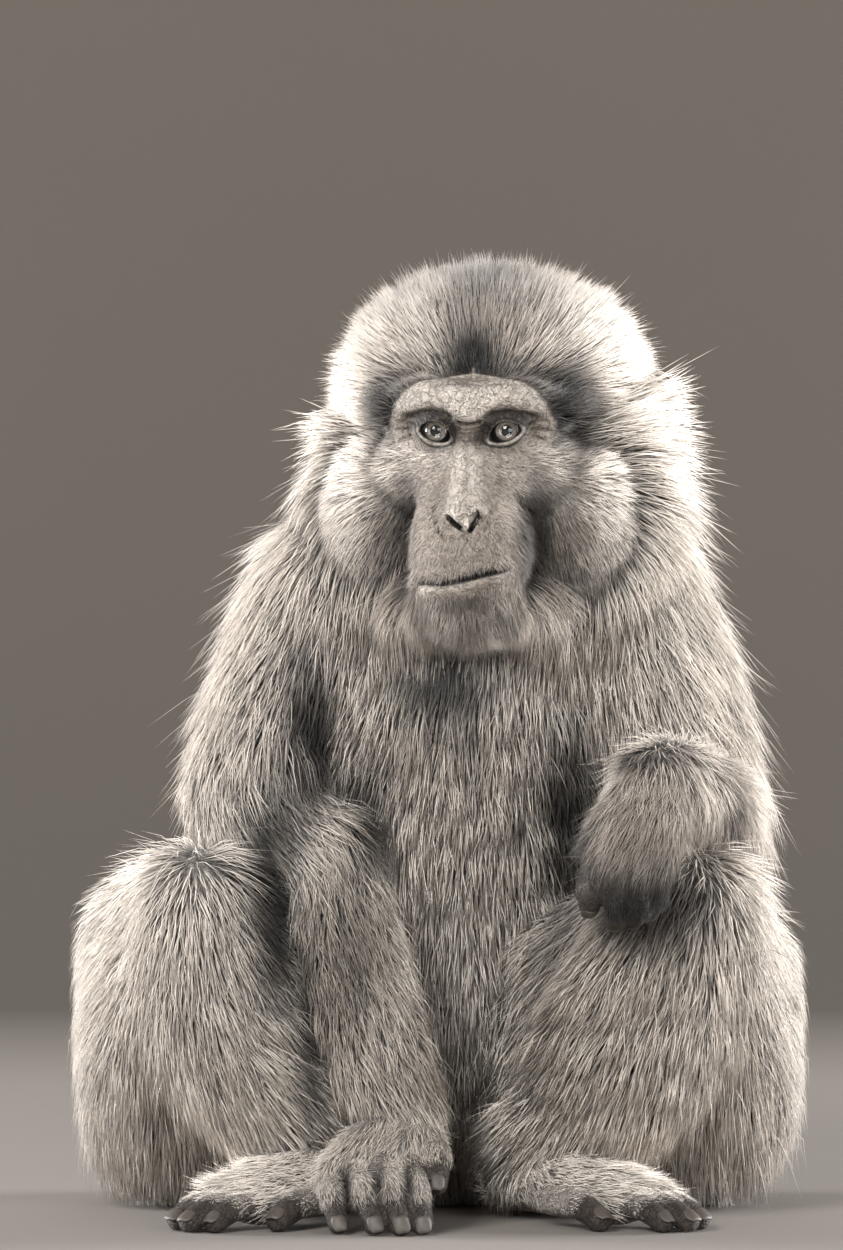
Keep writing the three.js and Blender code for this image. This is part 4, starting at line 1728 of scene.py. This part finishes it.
def face_colours(body: Body, points: Array) -> Array:
    """The bare skin's colour: pale on brow and lip; painted highlights on the nose; painted shade in folds, at the eyes
    and mouth.

    Args:
        body: The animal.
        points: Places in the animal's frame.

    Returns:
        Linear colours, one for each.
    """
    head = body.head
    local = head.to_head(points)
    x, y, z = local[:, 0], local[:, 1], local[:, 2]
    colour = np.tile(tone(*FACE_COLOUR), (len(points), 1))

    def paint(share: Array, shade: Shade) -> None:
        """Lays a shade over the colour."""
        colour[:] = colour * (1 - share[:, None]) + tone(*shade) * share[:, None]

    paint(0.75 * fade(z, 0, 8) * hump(np.abs(x), 20, 16), (196, 186, 175))
    paint(0.8 * fade(z, 4, 9) * fade(np.abs(x), 18, 7) * fade(z, 26, 18), (216, 206, 195))
    paint(0.5 * fade(np.abs(x), 11, 19) * fade(z, -9, -16) * fade(z, -48, -36), (132, 122, 113))
    paint(0.7 * fade(z, -34, -58) * fade(y, -30, -50), (142, 131, 121))
    # Painted shade down the nose's flanks and a painted highlight along its bridge.
    paint(0.75 * hump(np.abs(x), 14, 5) * fade(z, -16, -26) * fade(z, -56, -44), (128, 118, 108))
    paint(0.5 * np.exp(-((x / 6) ** 2)) * fade(z, -4, -14) * fade(z, -50, -40), (206, 196, 185))
    paint(0.55 * fade(z, 8, 4) * fade(z, -10, -4) * fade(np.abs(x), 14, 9), (110, 100, 91))
    paint(0.5 * fade(np.abs(x), 26, 32) * fade(z, -8, -2) * fade(z, 12, 6), (112, 102, 93))
    # Painted shade in the face's creases, darker where they are deeper.
    folds = np.clip(head.relief(local), 0, 3) / 3
    paint(0.9 * np.clip(folds * 2.4, 0, 1), (58, 51, 46))
    mouth, _ = line_offset(x, z, MOUTH_LINE)
    below = (z < np.interp(x, *zip(*MOUTH_LINE))).astype(float)
    paint(0.7 * below * hump(mouth, 4.5, 4) * fade(np.abs(x), 34, 24), (188, 177, 165))
    paint(0.6 * fade(z, -83, -88), (110, 100, 92))
    # Painted shade on the muzzle's lower left side, away from the key light, on both sides of the muzzle, and along the
    # mouth's line.
    paint(0.7 * fade(x, 4, 18) * fade(z, -44, -52), (104, 95, 87))
    paint(0.6 * fade(np.abs(x), 22, 30) * fade(z, -38, -48), (96, 87, 80))
    paint(0.98 * np.exp(-((mouth / 2.3) ** 4)) * (y < -55) * fade(np.abs(x - 4), 23, 16), (14, 12, 11))
    for side in Side:
        rim = head.eye_opening(local, side)
        front = (y < -40).astype(float)
        lower = fade(z - 0.32 * side.value * x, -5.5, -9.5)
        # Painted shade round each eye: a dark ring in the socket, the brow's shadow over the upper lid, and the lower
        # lid's crease.
        paint(0.65 * hump(rim, 4, 4.5) * front, (96, 87, 79))
        paint(0.95 * hump(rim, 2.7, 0.75) * front * lower, (28, 24, 21))
        paint(0.96 * hump(rim, 1.7, 1.7) * front * (1 - lower), (22, 18, 16))
        paint(0.85 * hump(rim, 4.2, 2.8) * front * (1 - lower), (46, 40, 36))
        paint(0.85 * hump(rim, 1.1, 0.65) * front * lower, (178, 168, 157))
        paint(0.97 * fade(rim, 0.3, -0.2) * front, (9, 8, 7))
        line = sorted((station[0], station[2]) for station in NOSTRILS[side])
        slit, _ = line_offset(x, z, line)
        above = (z > np.interp(x, *zip(*line))).astype(float)
        # A painted highlight along the rim above each nostril, and painted shade inside the nostril.
        paint(0.7 * above * hump(slit, 3.4, 0.9) * (y < -78), (214, 204, 193))
        paint(0.97 * fade(slit, 1.9, 1.0) * (y < -70), (12, 10, 9))
    return colour


def dress_skin(body: Body, shift: Array, skin: Object) -> None:
    """Stores the skin's tint: its colour, with painted shade where the coat covers it, and in alpha how bare it is.

    Args:
        body: The animal.
        shift: From its frame to the row frame.
        skin: The skin.
    """
    points = mesh_points(skin.data) - shift
    bare = body.head.outline(body.head.to_head(points))
    ends = np.zeros(len(points))
    for digit in DIGITS:
        away = np.linalg.norm(points - np.array(digit.tip), axis=1)
        ends = np.maximum(ends, fade(away, digit.radius * 3.2, digit.radius * 1.6))
    # Painted shade under the coat: the coat's colour, darkened as in the coat's depth.
    under = markings(body, points) * UNDERCOAT_SHADE
    colour = under * (1 - bare[:, None]) + face_colours(body, points) * bare[:, None]
    colour = colour * (1 - ends[:, None]) + tone(*FINGERTIP_COLOUR) * ends[:, None]
    tint = skin.data.color_attributes.new("Tint", "FLOAT_COLOR", "POINT")
    values = np.concatenate([colour, np.maximum(bare, ends)[:, None]], axis=1)
    tint.data.foreach_set("color", values.astype(np.float32).ravel())


# ---- eyes and nails


@dataclass
class Eye:
    """An eye: a ball with its iris set in, and the clear cornea over it."""

    side: Side
    head: Head
    gaze: tuple[float, float] = (math.radians(3.0), math.radians(-1.0))  # turned left, and up
    iris: float = 5.0  # radius
    pupil: float = 2.3
    sink: float = 1.1  # how deep the iris lies below the ball's front
    dome: float = 6.6  # the cornea's radius
    slices: int = 64

    def axes(self) -> tuple[Array, Array, Array]:
        """The eye's left, up and forward directions in the animal's frame.

        Returns:
            The three directions.
        """
        yaw, pitch = self.gaze
        forward = np.array((math.sin(yaw), -math.cos(yaw) * math.cos(pitch), math.sin(pitch)))
        left = unit(np.cross(np.array((0.0, 0.0, 1.0)), forward) * -1)
        up = np.cross(forward, left)
        up = up if up[2] > 0 else -up
        return self.head.to_body(left), self.head.to_body(up), self.head.to_body(forward)

    def centre(self) -> Array:
        """The ball's centre, from the box of the frame's own eye."""
        low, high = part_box(f"eye_{self.side.word}")
        return (np.array(low) + np.array(high)) / 2 / MM

    def turned(self, profile: Array) -> tuple[Array, Array, Array]:
        """A closed body turned round the gaze from rows of (radius, height).

        Args:
            profile: Points from the front pole to the back one.

        Returns:
            The points, the faces, and each point's (x, y, radius) seen along the gaze.
        """
        left, up, forward = self.axes()
        angles = np.arange(self.slices) * 2 * math.pi / self.slices
        ring = np.cos(angles)[:, None] * left + np.sin(angles)[:, None] * up
        inner = profile[1:-1]
        points = [profile[0, 1] * forward]
        polar = [(0.0, 0.0, 0.0)]
        for radius, height in inner:
            points.extend(radius * ring + height * forward)
            polar.extend(zip(radius * np.cos(angles), radius * np.sin(angles), np.full(self.slices, radius)))
        points.append(profile[-1, 1] * forward)
        polar.append((0.0, 0.0, 20.0))
        faces = []
        n, rows = self.slices, len(inner)
        for k in range(n):
            after = (k + 1) % n
            faces.append((0, 1 + k, 1 + after))
            for r in range(rows - 1):
                a, b = 1 + r * n + k, 1 + r * n + after
                faces += [(a, a + n, b + n), (a, b + n, b)]
            last = 1 + (rows - 1) * n
            faces.append((last + k, len(points) - 1, last + after))
        return np.array(points) + self.centre(), np.array(faces), np.array(polar)

    def solid(self, name: str, profile: Array) -> Object:
        """Makes an object from a turned profile, with its polar places stored.

        Args:
            name: Its name.
            profile: Rows of (radius, height), front to back.

        Returns:
            The object.
        """
        points, faces, polar = self.turned(profile)
        middle = points.mean(axis=0)
        a, b, c = (points[faces[:, k]] for k in range(3))
        outward = (np.cross(b - a, c - a) * ((a + b + c) / 3 - middle)).sum()
        mesh = mesh_from(name, Shell(points, faces if outward > 0 else faces[:, ::-1]))
        layer = mesh.attributes.new("Polar", "FLOAT_VECTOR", "POINT")
        layer.data.foreach_set("vector", polar.astype(np.float32).ravel())
        return new_object(name, mesh)

    def build(self) -> tuple[Object, Object]:
        """Makes the ball and the cornea.

        Returns:
            The two objects.
        """
        r = self.head.eye_radius - 0.1
        rim = math.asin((self.iris + 0.4) / r)
        edge = r * math.cos(rim)
        bowl = [(self.pupil * t, edge - self.sink - 0.25) for t in (0.0, 0.5, 0.96)]
        bowl += [(self.pupil + (self.iris - self.pupil) * t, edge - self.sink + 0.5 * t) for t in np.linspace(0, 1, 10)]
        ball = [(r * math.sin(a), r * math.cos(a)) for a in np.linspace(rim, math.pi, 30)]
        ball[-1] = (0.0, -r)
        globe = self.solid(f"eyeball_{self.side.word}", np.array(bowl + ball))
        d = self.dome
        half = math.asin((self.iris + 0.35) / d)
        middle = edge - d * math.cos(half)
        dome = [(d * math.sin(a), middle + d * math.cos(a)) for a in np.linspace(0, half, 14)]
        back = [((self.iris + 0.1) * t, edge - 0.25 - 0.15 * (1 - t)) for t in (1.0, 0.75, 0.5, 0.25, 0.0)]
        cornea = self.solid(f"cornea_{self.side.word}", np.array(dome + back))
        return globe, cornea


@dataclass
class Nails:
    """The curved nails of one hand or foot."""

    end: Hand | Foot
    up: Point  # the side of the digits that the nails are on
    shift: Array
    across: int = 9
    along: int = 7
    thick: float = 0.7

    def nail(self, digit: Digit) -> Shell:
        """One nail, as a closed curved plate.

        Args:
            digit: The digit that it is on.

        Returns:
            The plate, in the animal's frame.
        """
        tip, bend = np.array(digit.tip), np.array(digit.bend)
        way = unit(tip - bend)
        up = unit(np.array(self.up) - way * (way @ np.array(self.up)))
        side = np.cross(way, up)
        r = digit.radius * digit.tip_share - 0.3
        layers = []
        for lift in (0.35, 0.35 - self.thick):
            for j in range(self.along):
                t = j / (self.along - 1)
                reach = r * (-0.35 + 1.45 * t)
                width = 0.95 - 0.35 * abs(2 * t - 0.9) ** 2.5
                for i in range(self.across):
                    angle = (i / (self.across - 1) * 2 - 1) * width
                    over = r * (1 - 0.42 * t**2.2) + lift
                    aside = side * math.sin(angle) * (r + lift) * 0.9
                    layers.append(tip + way * reach + aside + up * math.cos(angle) * over)
        n, m = self.across, self.along
        faces = []
        for j in range(m - 1):
            for i in range(n - 1):
                a = j * n + i
                faces.append((a, a + 1, a + n + 1, a + n))
                b = a + n * m
                faces.append((b, b + n, b + n + 1, b + 1))
        border = list(range(n)) + [j * n + n - 1 for j in range(1, m)]
        border += [(m - 1) * n + i for i in range(n - 2, -1, -1)] + [j * n for j in range(m - 2, 0, -1)]
        for a, b in zip(border, border[1:] + border[:1]):
            faces.append((b, a, a + n * m, b + n * m))
        return Shell(np.array(layers), np.array(faces))

    def build(self) -> Object:
        """Makes all five nails as one object.

        Returns:
            The object.
        """
        shells = [self.nail(digit) for digit in self.end.digits.values()]
        starts = np.cumsum([0, *(len(shell.points) for shell in shells)])
        points = np.concatenate([shell.points for shell in shells])
        points[:, 2] = np.maximum(points[:, 2], FLOOR_CLEARANCE)
        faces = np.concatenate([shell.quads + start for shell, start in zip(shells, starts)])
        word = "hand" if isinstance(self.end, Hand) else "foot"
        name = f"nails_{word}_{self.end.side.word}"
        mesh = mesh_from(name, Shell(points + self.shift, faces))
        made = new_object(name, mesh)
        bm = bmesh.new()
        bm.from_mesh(mesh)
        bmesh.ops.recalc_face_normals(bm, faces=bm.faces)
        bm.to_mesh(mesh)
        bm.free()
        return made


# ---- finishes


def feed(target: Node, values: dict[str | int, object]) -> None:
    """Fills a node's input sockets.

    Args:
        target: The node.
        values: By each input's name or number, the socket that is linked to it, or its plain value.
    """
    for word, value in values.items():
        if isinstance(value, Socket):
            target.id_data.links.new(value, target.inputs[word])
        else:
            target.inputs[word].default_value = value


def node(tree: Tree, kind: str, values: dict[str | int, object] | None = None, **settings: object) -> Node:
    """Adds a node.

    Args:
        tree: The tree that it goes into.
        kind: Its type, without the prefix that all have.
        values: What its inputs are fed with.
        settings: Its own settings.

    Returns:
        The new node.
    """
    made = tree.nodes.new(f"ShaderNode{kind}")
    for word, value in settings.items():
        setattr(made, word, value)
    feed(made, values or {})
    return made


def maths(tree: Tree, operation: str, first: Socket | float, second: Socket | float = 0.0) -> Socket:
    """The result of a sum in a node tree."""
    return node(tree, "Math", {0: first, 1: second}, operation=operation).outputs[0]


def place_group(tree: Tree, group: Tree, **values: float) -> Socket:
    """What a shared effect puts out, placed in a material with its own values."""
    return node(tree, "Group", values, node_tree=group).outputs[0]


def set_stops(ramp: Node, stops: Sequence[tuple[float, Sequence[float]]]) -> None:
    """Sets a colour ramp's stops.

    Args:
        ramp: The ramp's node.
        stops: Each stop's place from 0 to 1, and its colour.
    """
    elements = ramp.color_ramp.elements
    (first, shade), *others = stops
    elements.remove(elements[1])
    elements[0].position, elements[0].color = first, (*shade, 1)
    for at, colour in others:
        elements.new(at).color = (*colour, 1)


def scaled_colour(tree: Tree, colour: Socket, *factors: Socket) -> Socket:
    """Multiplies a colour.

    Args:
        tree: The tree that the colour is in.
        colour: The colour.
        factors: The values that it is multiplied by, in turn.

    Returns:
        The product.
    """
    for factor in factors:
        colour = node(tree, "VectorMath", {0: colour, "Scale": factor}, operation="SCALE").outputs[0]
    return colour


def new_group(name: str, inputs: dict[str, float], output: str) -> tuple[Tree, Node, Node]:
    """A shader node group with number inputs and one number output.

    Args:
        name: The group's name.
        inputs: The inputs' own values, by name.
        output: The output's name.

    Returns:
        The group, the node that its inputs come out of, and the node that its output goes into.
    """
    group = bpy.data.node_groups.new(name, "ShaderNodeTree")
    for word, value in inputs.items():
        socket = group.interface.new_socket(word, in_out="INPUT", socket_type="NodeSocketFloat")
        socket.default_value = value
    group.interface.new_socket(output, in_out="OUTPUT", socket_type="NodeSocketFloat")
    return group, group.nodes.new("NodeGroupInput"), group.nodes.new("NodeGroupOutput")


def mottle_group() -> Tree:
    """Makes the soft cloudy variation in space: a value round 1.

    Returns:
        The group.
    """
    group, given, result = new_group("Mottle", {"Scale": 60.0, "Amount": 0.2}, "Value")
    place = node(group, "TexCoord").outputs["Object"]
    cloud = {"Vector": place, "Scale": given.outputs["Scale"], "Detail": 4.0, "Roughness": 0.55}
    spread = maths(group, "SUBTRACT", node(group, "TexNoise", cloud).outputs["Fac"], 0.5)
    scaled = maths(group, "MULTIPLY", spread, given.outputs["Amount"])
    feed(result, {"Value": maths(group, "ADD", scaled, 1.0)})
    return group


def grain_group() -> Tree:
    """Makes the fine creased grain, as of skin or horn: a height from 0 to 1.

    Returns:
        The group.
    """
    group, given, result = new_group("Grain", {"Scale": 900.0, "Crease": 0.6}, "Height")
    place, scale = node(group, "TexCoord").outputs["Object"], given.outputs["Scale"]
    broad = {"Vector": place, "Scale": scale, "Detail": 2.5, "Roughness": 0.5, "Distortion": 0.6}
    waves = node(group, "TexNoise", broad)
    folded = maths(group, "ABSOLUTE", maths(group, "SUBTRACT", waves.outputs["Fac"], 0.5))
    lines = node(group, "Math", {0: folded, 1: 13.0}, operation="MULTIPLY", use_clamp=True)
    third = maths(group, "MULTIPLY", scale, 0.35)
    noise = node(group, "TexNoise", {"Vector": place, "Scale": third, "Detail": 5.0, "Roughness": 0.65})
    blend = {"Factor": given.outputs["Crease"], "A": noise.outputs["Fac"], "B": lines.outputs[0]}
    feed(result, {"Height": node(group, "Mix", blend).outputs["Result"]})
    return group


@dataclass(frozen=True)
class Effects:
    """The node groups that several finishes share."""

    mottle: Tree
    grain: Tree


def new_material(name: str) -> tuple[Material, Tree, Node]:
    """Adds a material.

    Args:
        name: Its name.

    Returns:
        The material, its node tree and its Principled shader.
    """
    material = bpy.data.materials.new(name)
    material.use_nodes = True
    return material, material.node_tree, material.node_tree.nodes["Principled BSDF"]


@dataclass(frozen=True)
class CoatFinish:
    """Dull soft hair, darker towards its root, as painted shade of the coat's depth."""

    # The dark roots are painted shade of the coat's depth.
    shades: tuple[tuple[float, float], ...] = ((0.0, 0.10), (0.42, 0.72), (1.0, 1.2))  # along a lock, and how light
    roughness: float = 0.55
    sheen: float = 0.16
    sheen_roughness: float = 0.45
    specular: float = 0.2

    def material(self, effects: Effects) -> Material:
        """Makes the material.

        Args:
            effects: The shared effects.

        Returns:
            The material.
        """
        material, tree, shader = new_material("coat")
        tint = node(tree, "Attribute", attribute_name="Tint").outputs
        ramp = node(tree, "ValToRGB", {"Fac": tint["Alpha"]})
        set_stops(ramp, [(at, (light,) * 3) for at, light in self.shades])
        mottle = place_group(tree, effects.mottle, Scale=45.0, Amount=0.34)
        fine = place_group(tree, effects.mottle, Scale=420.0, Amount=0.5)
        feed(shader, {
            "Base Color": scaled_colour(tree, tint["Color"], ramp.outputs["Color"], mottle, fine),
            "Roughness": self.roughness,
            "Sheen Weight": self.sheen,
            "Sheen Roughness": self.sheen_roughness,
            "Specular IOR Level": self.specular,
        })
        return material


@dataclass(frozen=True)
class SkinFinish:
    """Nearly bare, finely wrinkled, satin skin; dark and dull where the coat covers it, a painted shade that its tint
    holds.
    """

    roughness: float = 0.55
    specular: float = 0.35
    grain: float = 0.9
    pores: float = 0.0008  # how high the fine grain stands, in metres
    wrinkles: float = 0.0011  # and the broad one

    def material(self, effects: Effects) -> Material:
        """Makes the material.

        Args:
            effects: The shared effects.

        Returns:
            The material.
        """
        material, tree, shader = new_material("skin")
        tint = node(tree, "Attribute", attribute_name="Tint").outputs["Color"]
        mottle = place_group(tree, effects.mottle, Scale=130.0, Amount=0.35)
        specks = place_group(tree, effects.mottle, Scale=950.0, Amount=1.5)
        fine = place_group(tree, effects.grain, Scale=800.0, Crease=0.55)
        folds = place_group(tree, effects.grain, Scale=210.0, Crease=0.8)
        # Painted shade: the colour darkens in the grooves of the broad wrinkles, beside their bump.
        depth = {"Value": folds, "From Min": 0.05, "From Max": 0.6, "To Min": 0.6, "To Max": 1.08}
        shade = node(tree, "MapRange", depth).outputs["Result"]
        broad = node(tree, "Bump", {"Strength": self.grain, "Distance": self.wrinkles, "Height": folds})
        bump = node(tree, "Bump", {"Strength": self.grain, "Distance": self.pores, "Height": fine})
        feed(bump, {"Normal": broad.outputs["Normal"]})
        feed(shader, {
            "Base Color": scaled_colour(tree, tint, mottle, specks, shade),
            "Normal": bump.outputs["Normal"],
            "Roughness": self.roughness,
            "Specular IOR Level": self.specular,
        })
        return material


@dataclass(frozen=True)
class NailFinish:
    """Dark horn with fine lengthwise streaks."""

    colour: Shade = (74, 67, 61)
    roughness: float = 0.5
    grain: float = 0.35
    grain_height: float = 0.0003  # in metres

    def material(self, effects: Effects) -> Material:
        """Makes the material.

        Args:
            effects: The shared effects.

        Returns:
            The material.
        """
        material, tree, shader = new_material("nail")
        base = node(tree, "RGB").outputs[0]
        base.default_value = (*tone(*self.colour), 1)
        mottle = place_group(tree, effects.mottle, Scale=380.0, Amount=0.6)
        horn = place_group(tree, effects.grain, Scale=1600.0, Crease=0.2)
        bump = node(tree, "Bump", {"Strength": self.grain, "Distance": self.grain_height, "Height": horn})
        colour = scaled_colour(tree, base, mottle)
        feed(shader, {"Base Color": colour, "Normal": bump.outputs["Normal"], "Roughness": self.roughness})
        return material


@dataclass(frozen=True)
class EyeFinish:
    """The ball: a dark white, a brown iris with fine rays, a black pupil; all of it wet."""

    white: Shade = (20, 17, 15)
    iris: Shade = (118, 109, 99)
    rim: Shade = (14, 12, 11)
    pupil: float = 0.002  # in linear light
    reach: float = 10.0  # the ramp's length from the middle of the pupil outwards, in millimetres
    wet: float = 0.03  # the roughness of its film
    clear: float = 1.42  # the cornea's index of refraction

    def material(self, eye: Eye, effects: Effects) -> Material:
        """Makes the ball's material.

        Args:
            eye: The eye, for the sizes of its iris and pupil.
            effects: The shared effects.

        Returns:
            The material.
        """
        material, tree, shader = new_material("eyeball")
        polar = node(tree, "Attribute", attribute_name="Polar").outputs["Vector"]
        place = node(tree, "SeparateXYZ", {0: polar}).outputs
        ramp = node(tree, "ValToRGB", {"Fac": maths(tree, "MULTIPLY", place["Z"], 1 / self.reach)})
        ring, hole = eye.iris / self.reach, eye.pupil / self.reach
        brown = tone(*self.iris)
        set_stops(ramp, [
            (hole * 0.96, (self.pupil,) * 3),
            (hole * 1.06, brown * 0.75),
            (ring * 0.6, brown),
            (ring * 0.86, brown * 0.7),
            (ring * 0.99, tone(*self.rim)),
            (ring * 1.25, tone(*self.white)),
        ])
        flat = node(tree, "CombineXYZ", {"X": place["X"], "Y": place["Y"]}).outputs[0]
        turn = node(tree, "VectorMath", {0: flat}, operation="NORMALIZE").outputs[0]
        rays = node(tree, "TexNoise", {"Vector": turn, "Scale": 9.0, "Detail": 3.0, "Roughness": 0.7})
        light = {"From Min": 0.3, "From Max": 0.7, "To Min": 0.62, "To Max": 1.35}
        lift = node(tree, "MapRange", {"Value": rays.outputs["Fac"], **light}).outputs["Result"]
        mottle = place_group(tree, effects.mottle, Scale=700.0, Amount=0.4)
        beyond = {"Value": place["Z"], "From Min": eye.iris, "From Max": eye.iris + 0.5}
        feed(shader, {
            "Base Color": scaled_colour(tree, ramp.outputs["Color"], lift, mottle),
            "Roughness": 0.5,
            "Specular IOR Level": 0.2,
            "Coat Weight": node(tree, "MapRange", beyond).outputs["Result"],
            "Coat Roughness": self.wet,
        })
        return material

    def cornea(self) -> Material:
        """Makes the clear dome's material.

        Returns:
            The material.
        """
        material, _, shader = new_material("cornea")
        feed(shader, {"Base Color": (1, 1, 1, 1), "Roughness": 0.02, "IOR": self.clear, "Transmission Weight": 1.0})
        return material


# ---- the studio


@dataclass
class Studio:
    """A pale floor that curves up into a plain wall, soft lights and the camera."""

    shift: Array
    target: Point = (-10.45, -80.04, 303.4)  # in the animal's own frame
    distance: float = 6.0
    elevation: float = math.radians(1.5)
    view_height: float = 0.635
    sensor: float = 36.0
    floor_colour: Shade = (126, 119, 113)
    wall_colour: Shade = (74, 68, 62)
    air: float = 0.27  # the light from all round
    lamps: tuple[tuple[str, Point, float, float], ...] = (  # place, power and size, in metres and watts
        ("key", (-1.1, -2.8, 1.7), 122, 1.3),
        ("fill", (1.6, -3.1, 0.7), 80, 1.8),
        ("rim_right", (-2.2, 0.75, 0.4), 130, 0.9),
        ("rim_left", (2.2, 0.75, 0.45), 130, 0.9),
        ("top", (0.0, 0.6, 2.6), 8, 1.2),
    )

    def build(self, effects: Effects) -> None:
        """Makes everything that isn't part of the animal.

        Args:
            effects: The shared effects.
        """
        self.sweep(effects)
        self.camera()
        self.lights()

    def camera(self) -> None:
        """Looks at the animal from a little above the floor."""
        data = bpy.data.cameras.new("camera")
        data.sensor_width = self.sensor
        data.lens = self.sensor * self.distance / self.view_height
        data.clip_end = 60
        camera = new_object("camera", data)
        x, y, z = (np.array(self.target) + self.shift) * MM
        back, up = math.cos(self.elevation) * self.distance, math.sin(self.elevation) * self.distance
        camera.location = (x, y - back, z + up)
        camera.rotation_euler = (math.pi / 2 - self.elevation, 0, 0)
        bpy.context.scene.camera = camera
        bpy.context.scene.view_settings.view_transform = "Standard"

    def lights(self) -> None:
        """A broad soft key from the front and above, and a light behind each shoulder."""
        aim = np.array((0.0, 0.0, 0.28))
        for name, place, power, size in self.lamps:
            self.area(name, place, aim, power, size)
        world = bpy.data.worlds.new("room")
        world.use_nodes = True
        sky = world.node_tree.nodes["Background"]
        sky.inputs["Color"].default_value = (0.52, 0.50, 0.48, 1)
        sky.inputs["Strength"].default_value = self.air
        bpy.context.scene.world = world

    def area(self, name: str, place: Point, aim: Array, power: float, size: float) -> None:
        """Adds a square soft light that faces a point.

        Args:
            name: Its name.
            place: Where it stands, in metres.
            aim: What it faces.
            power: Its power in watts.
            size: The length of its sides.
        """
        data = bpy.data.lights.new(name, "AREA")
        data.energy, data.size = power, size
        light = new_object(name, data)
        light.location = place
        away = np.array(place) - aim
        light.rotation_euler = (math.acos(away[2] / np.linalg.norm(away)), 0, math.atan2(away[0], -away[1]))

    def sweep(self, effects: Effects) -> None:
        """The floor and wall in one curved sheet, which can be seen through from behind.

        Args:
            effects: The shared effects.
        """
        radius, start, far, top = 1.0, 1.0, 8.0, 3.6
        profile = [(-far, 0.0), (-2.0, 0.0), (start, 0.0)]
        for t in np.linspace(0, math.pi / 2, 24)[1:]:
            profile.append((start + radius * math.sin(t), radius * (1 - math.cos(t))))
        profile.append((start + radius, top))
        rows = np.array([(x, y, z) for y, z in profile for x in (-far, far)])
        faces = np.array([(2 * k, 2 * k + 1, 2 * k + 3, 2 * k + 2) for k in range(len(profile) - 1)])
        floor = new_object("floor", mesh_from("floor", Shell(rows / MM, faces)))
        material, tree, shader = new_material("studio")
        place = node(tree, "TexCoord").outputs["Object"]
        height = node(tree, "SeparateXYZ", {0: place}).outputs["Z"]
        climb = node(tree, "MapRange", {"Value": height, "From Min": 0.0, "From Max": 0.03}).outputs["Result"]
        low, high = ((*tone(*shade), 1) for shade in (self.floor_colour, self.wall_colour))
        mix = node(tree, "Mix", {"Factor": climb, "A": low, "B": high}, data_type="RGBA").outputs["Result"]
        mottle = place_group(tree, effects.mottle, Scale=1.4, Amount=0.15)
        behind = node(tree, "NewGeometry").outputs["Backfacing"]
        feed(shader, {
            "Base Color": scaled_colour(tree, mix, mottle),
            "Roughness": 0.9,
            "Alpha": maths(tree, "SUBTRACT", 1.0, behind),
        })
        floor.data.materials.append(material)


# ---- putting it together


FLESH = [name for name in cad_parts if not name.startswith("eye_")]


def body_shift() -> Array:
    """From the animal's own frame to the row frame, in millimetres, by the place of its eyes.

    Returns:
        The shift.
    """
    boxes = [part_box(f"eye_{side.word}") for side in Side]
    found = np.mean([(np.array(low) + np.array(high)) / 2 for low, high in boxes], axis=0) / MM
    head = Head()
    between = np.array((0.0, head.eye_place[1], head.eye_place[2]))
    return found - (np.array(head.centre) + head.to_body(between))


def finish_piece(piece: Object, material: Material) -> None:
    """Dresses a piece and lets it ride on the one body.

    Args:
        piece: The piece.
        material: Its material.
    """
    piece.data.materials.clear()
    piece.data.materials.append(material)
    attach(piece, "root")
    log.info("%s: %d faces", piece.name, len(piece.data.polygons))


def main() -> None:
    """Builds the animal and its studio."""
    logging.basicConfig(level=logging.INFO, format="%(message)s")
    effects = Effects(mottle_group(), grain_group())
    shift = body_shift()
    body = Body()

    skin = Skin(body, shift).build()
    dress_skin(body, shift, skin)
    finish_piece(skin, SkinFinish().material(effects))
    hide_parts(*FLESH)

    coat_material = CoatFinish().material(effects)
    for piece in Coat(body, shift, skin).build():
        finish_piece(piece, coat_material)

    eye_finish = EyeFinish()
    clear = eye_finish.cornea()
    for side in Side:
        eye = Eye(side, body.head)
        globe, cornea = eye.build()
        finish_piece(globe, eye_finish.material(eye, effects))
        finish_piece(cornea, clear)
        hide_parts(f"eye_{side.word}")

    nail_material = NailFinish().material(effects)
    ends = ((RIGHT_HAND, (0, -1, 1)), (LEFT_HAND, (0, -0.5, -1)), (FEET[0], (0, 0, 1)), (FEET[1], (0, 0, 1)))
    for end, up in ends:
        finish_piece(Nails(end, up, shift).build(), nail_material)

    Studio(shift).build(effects)


if __name__ == "__main__":
    main()
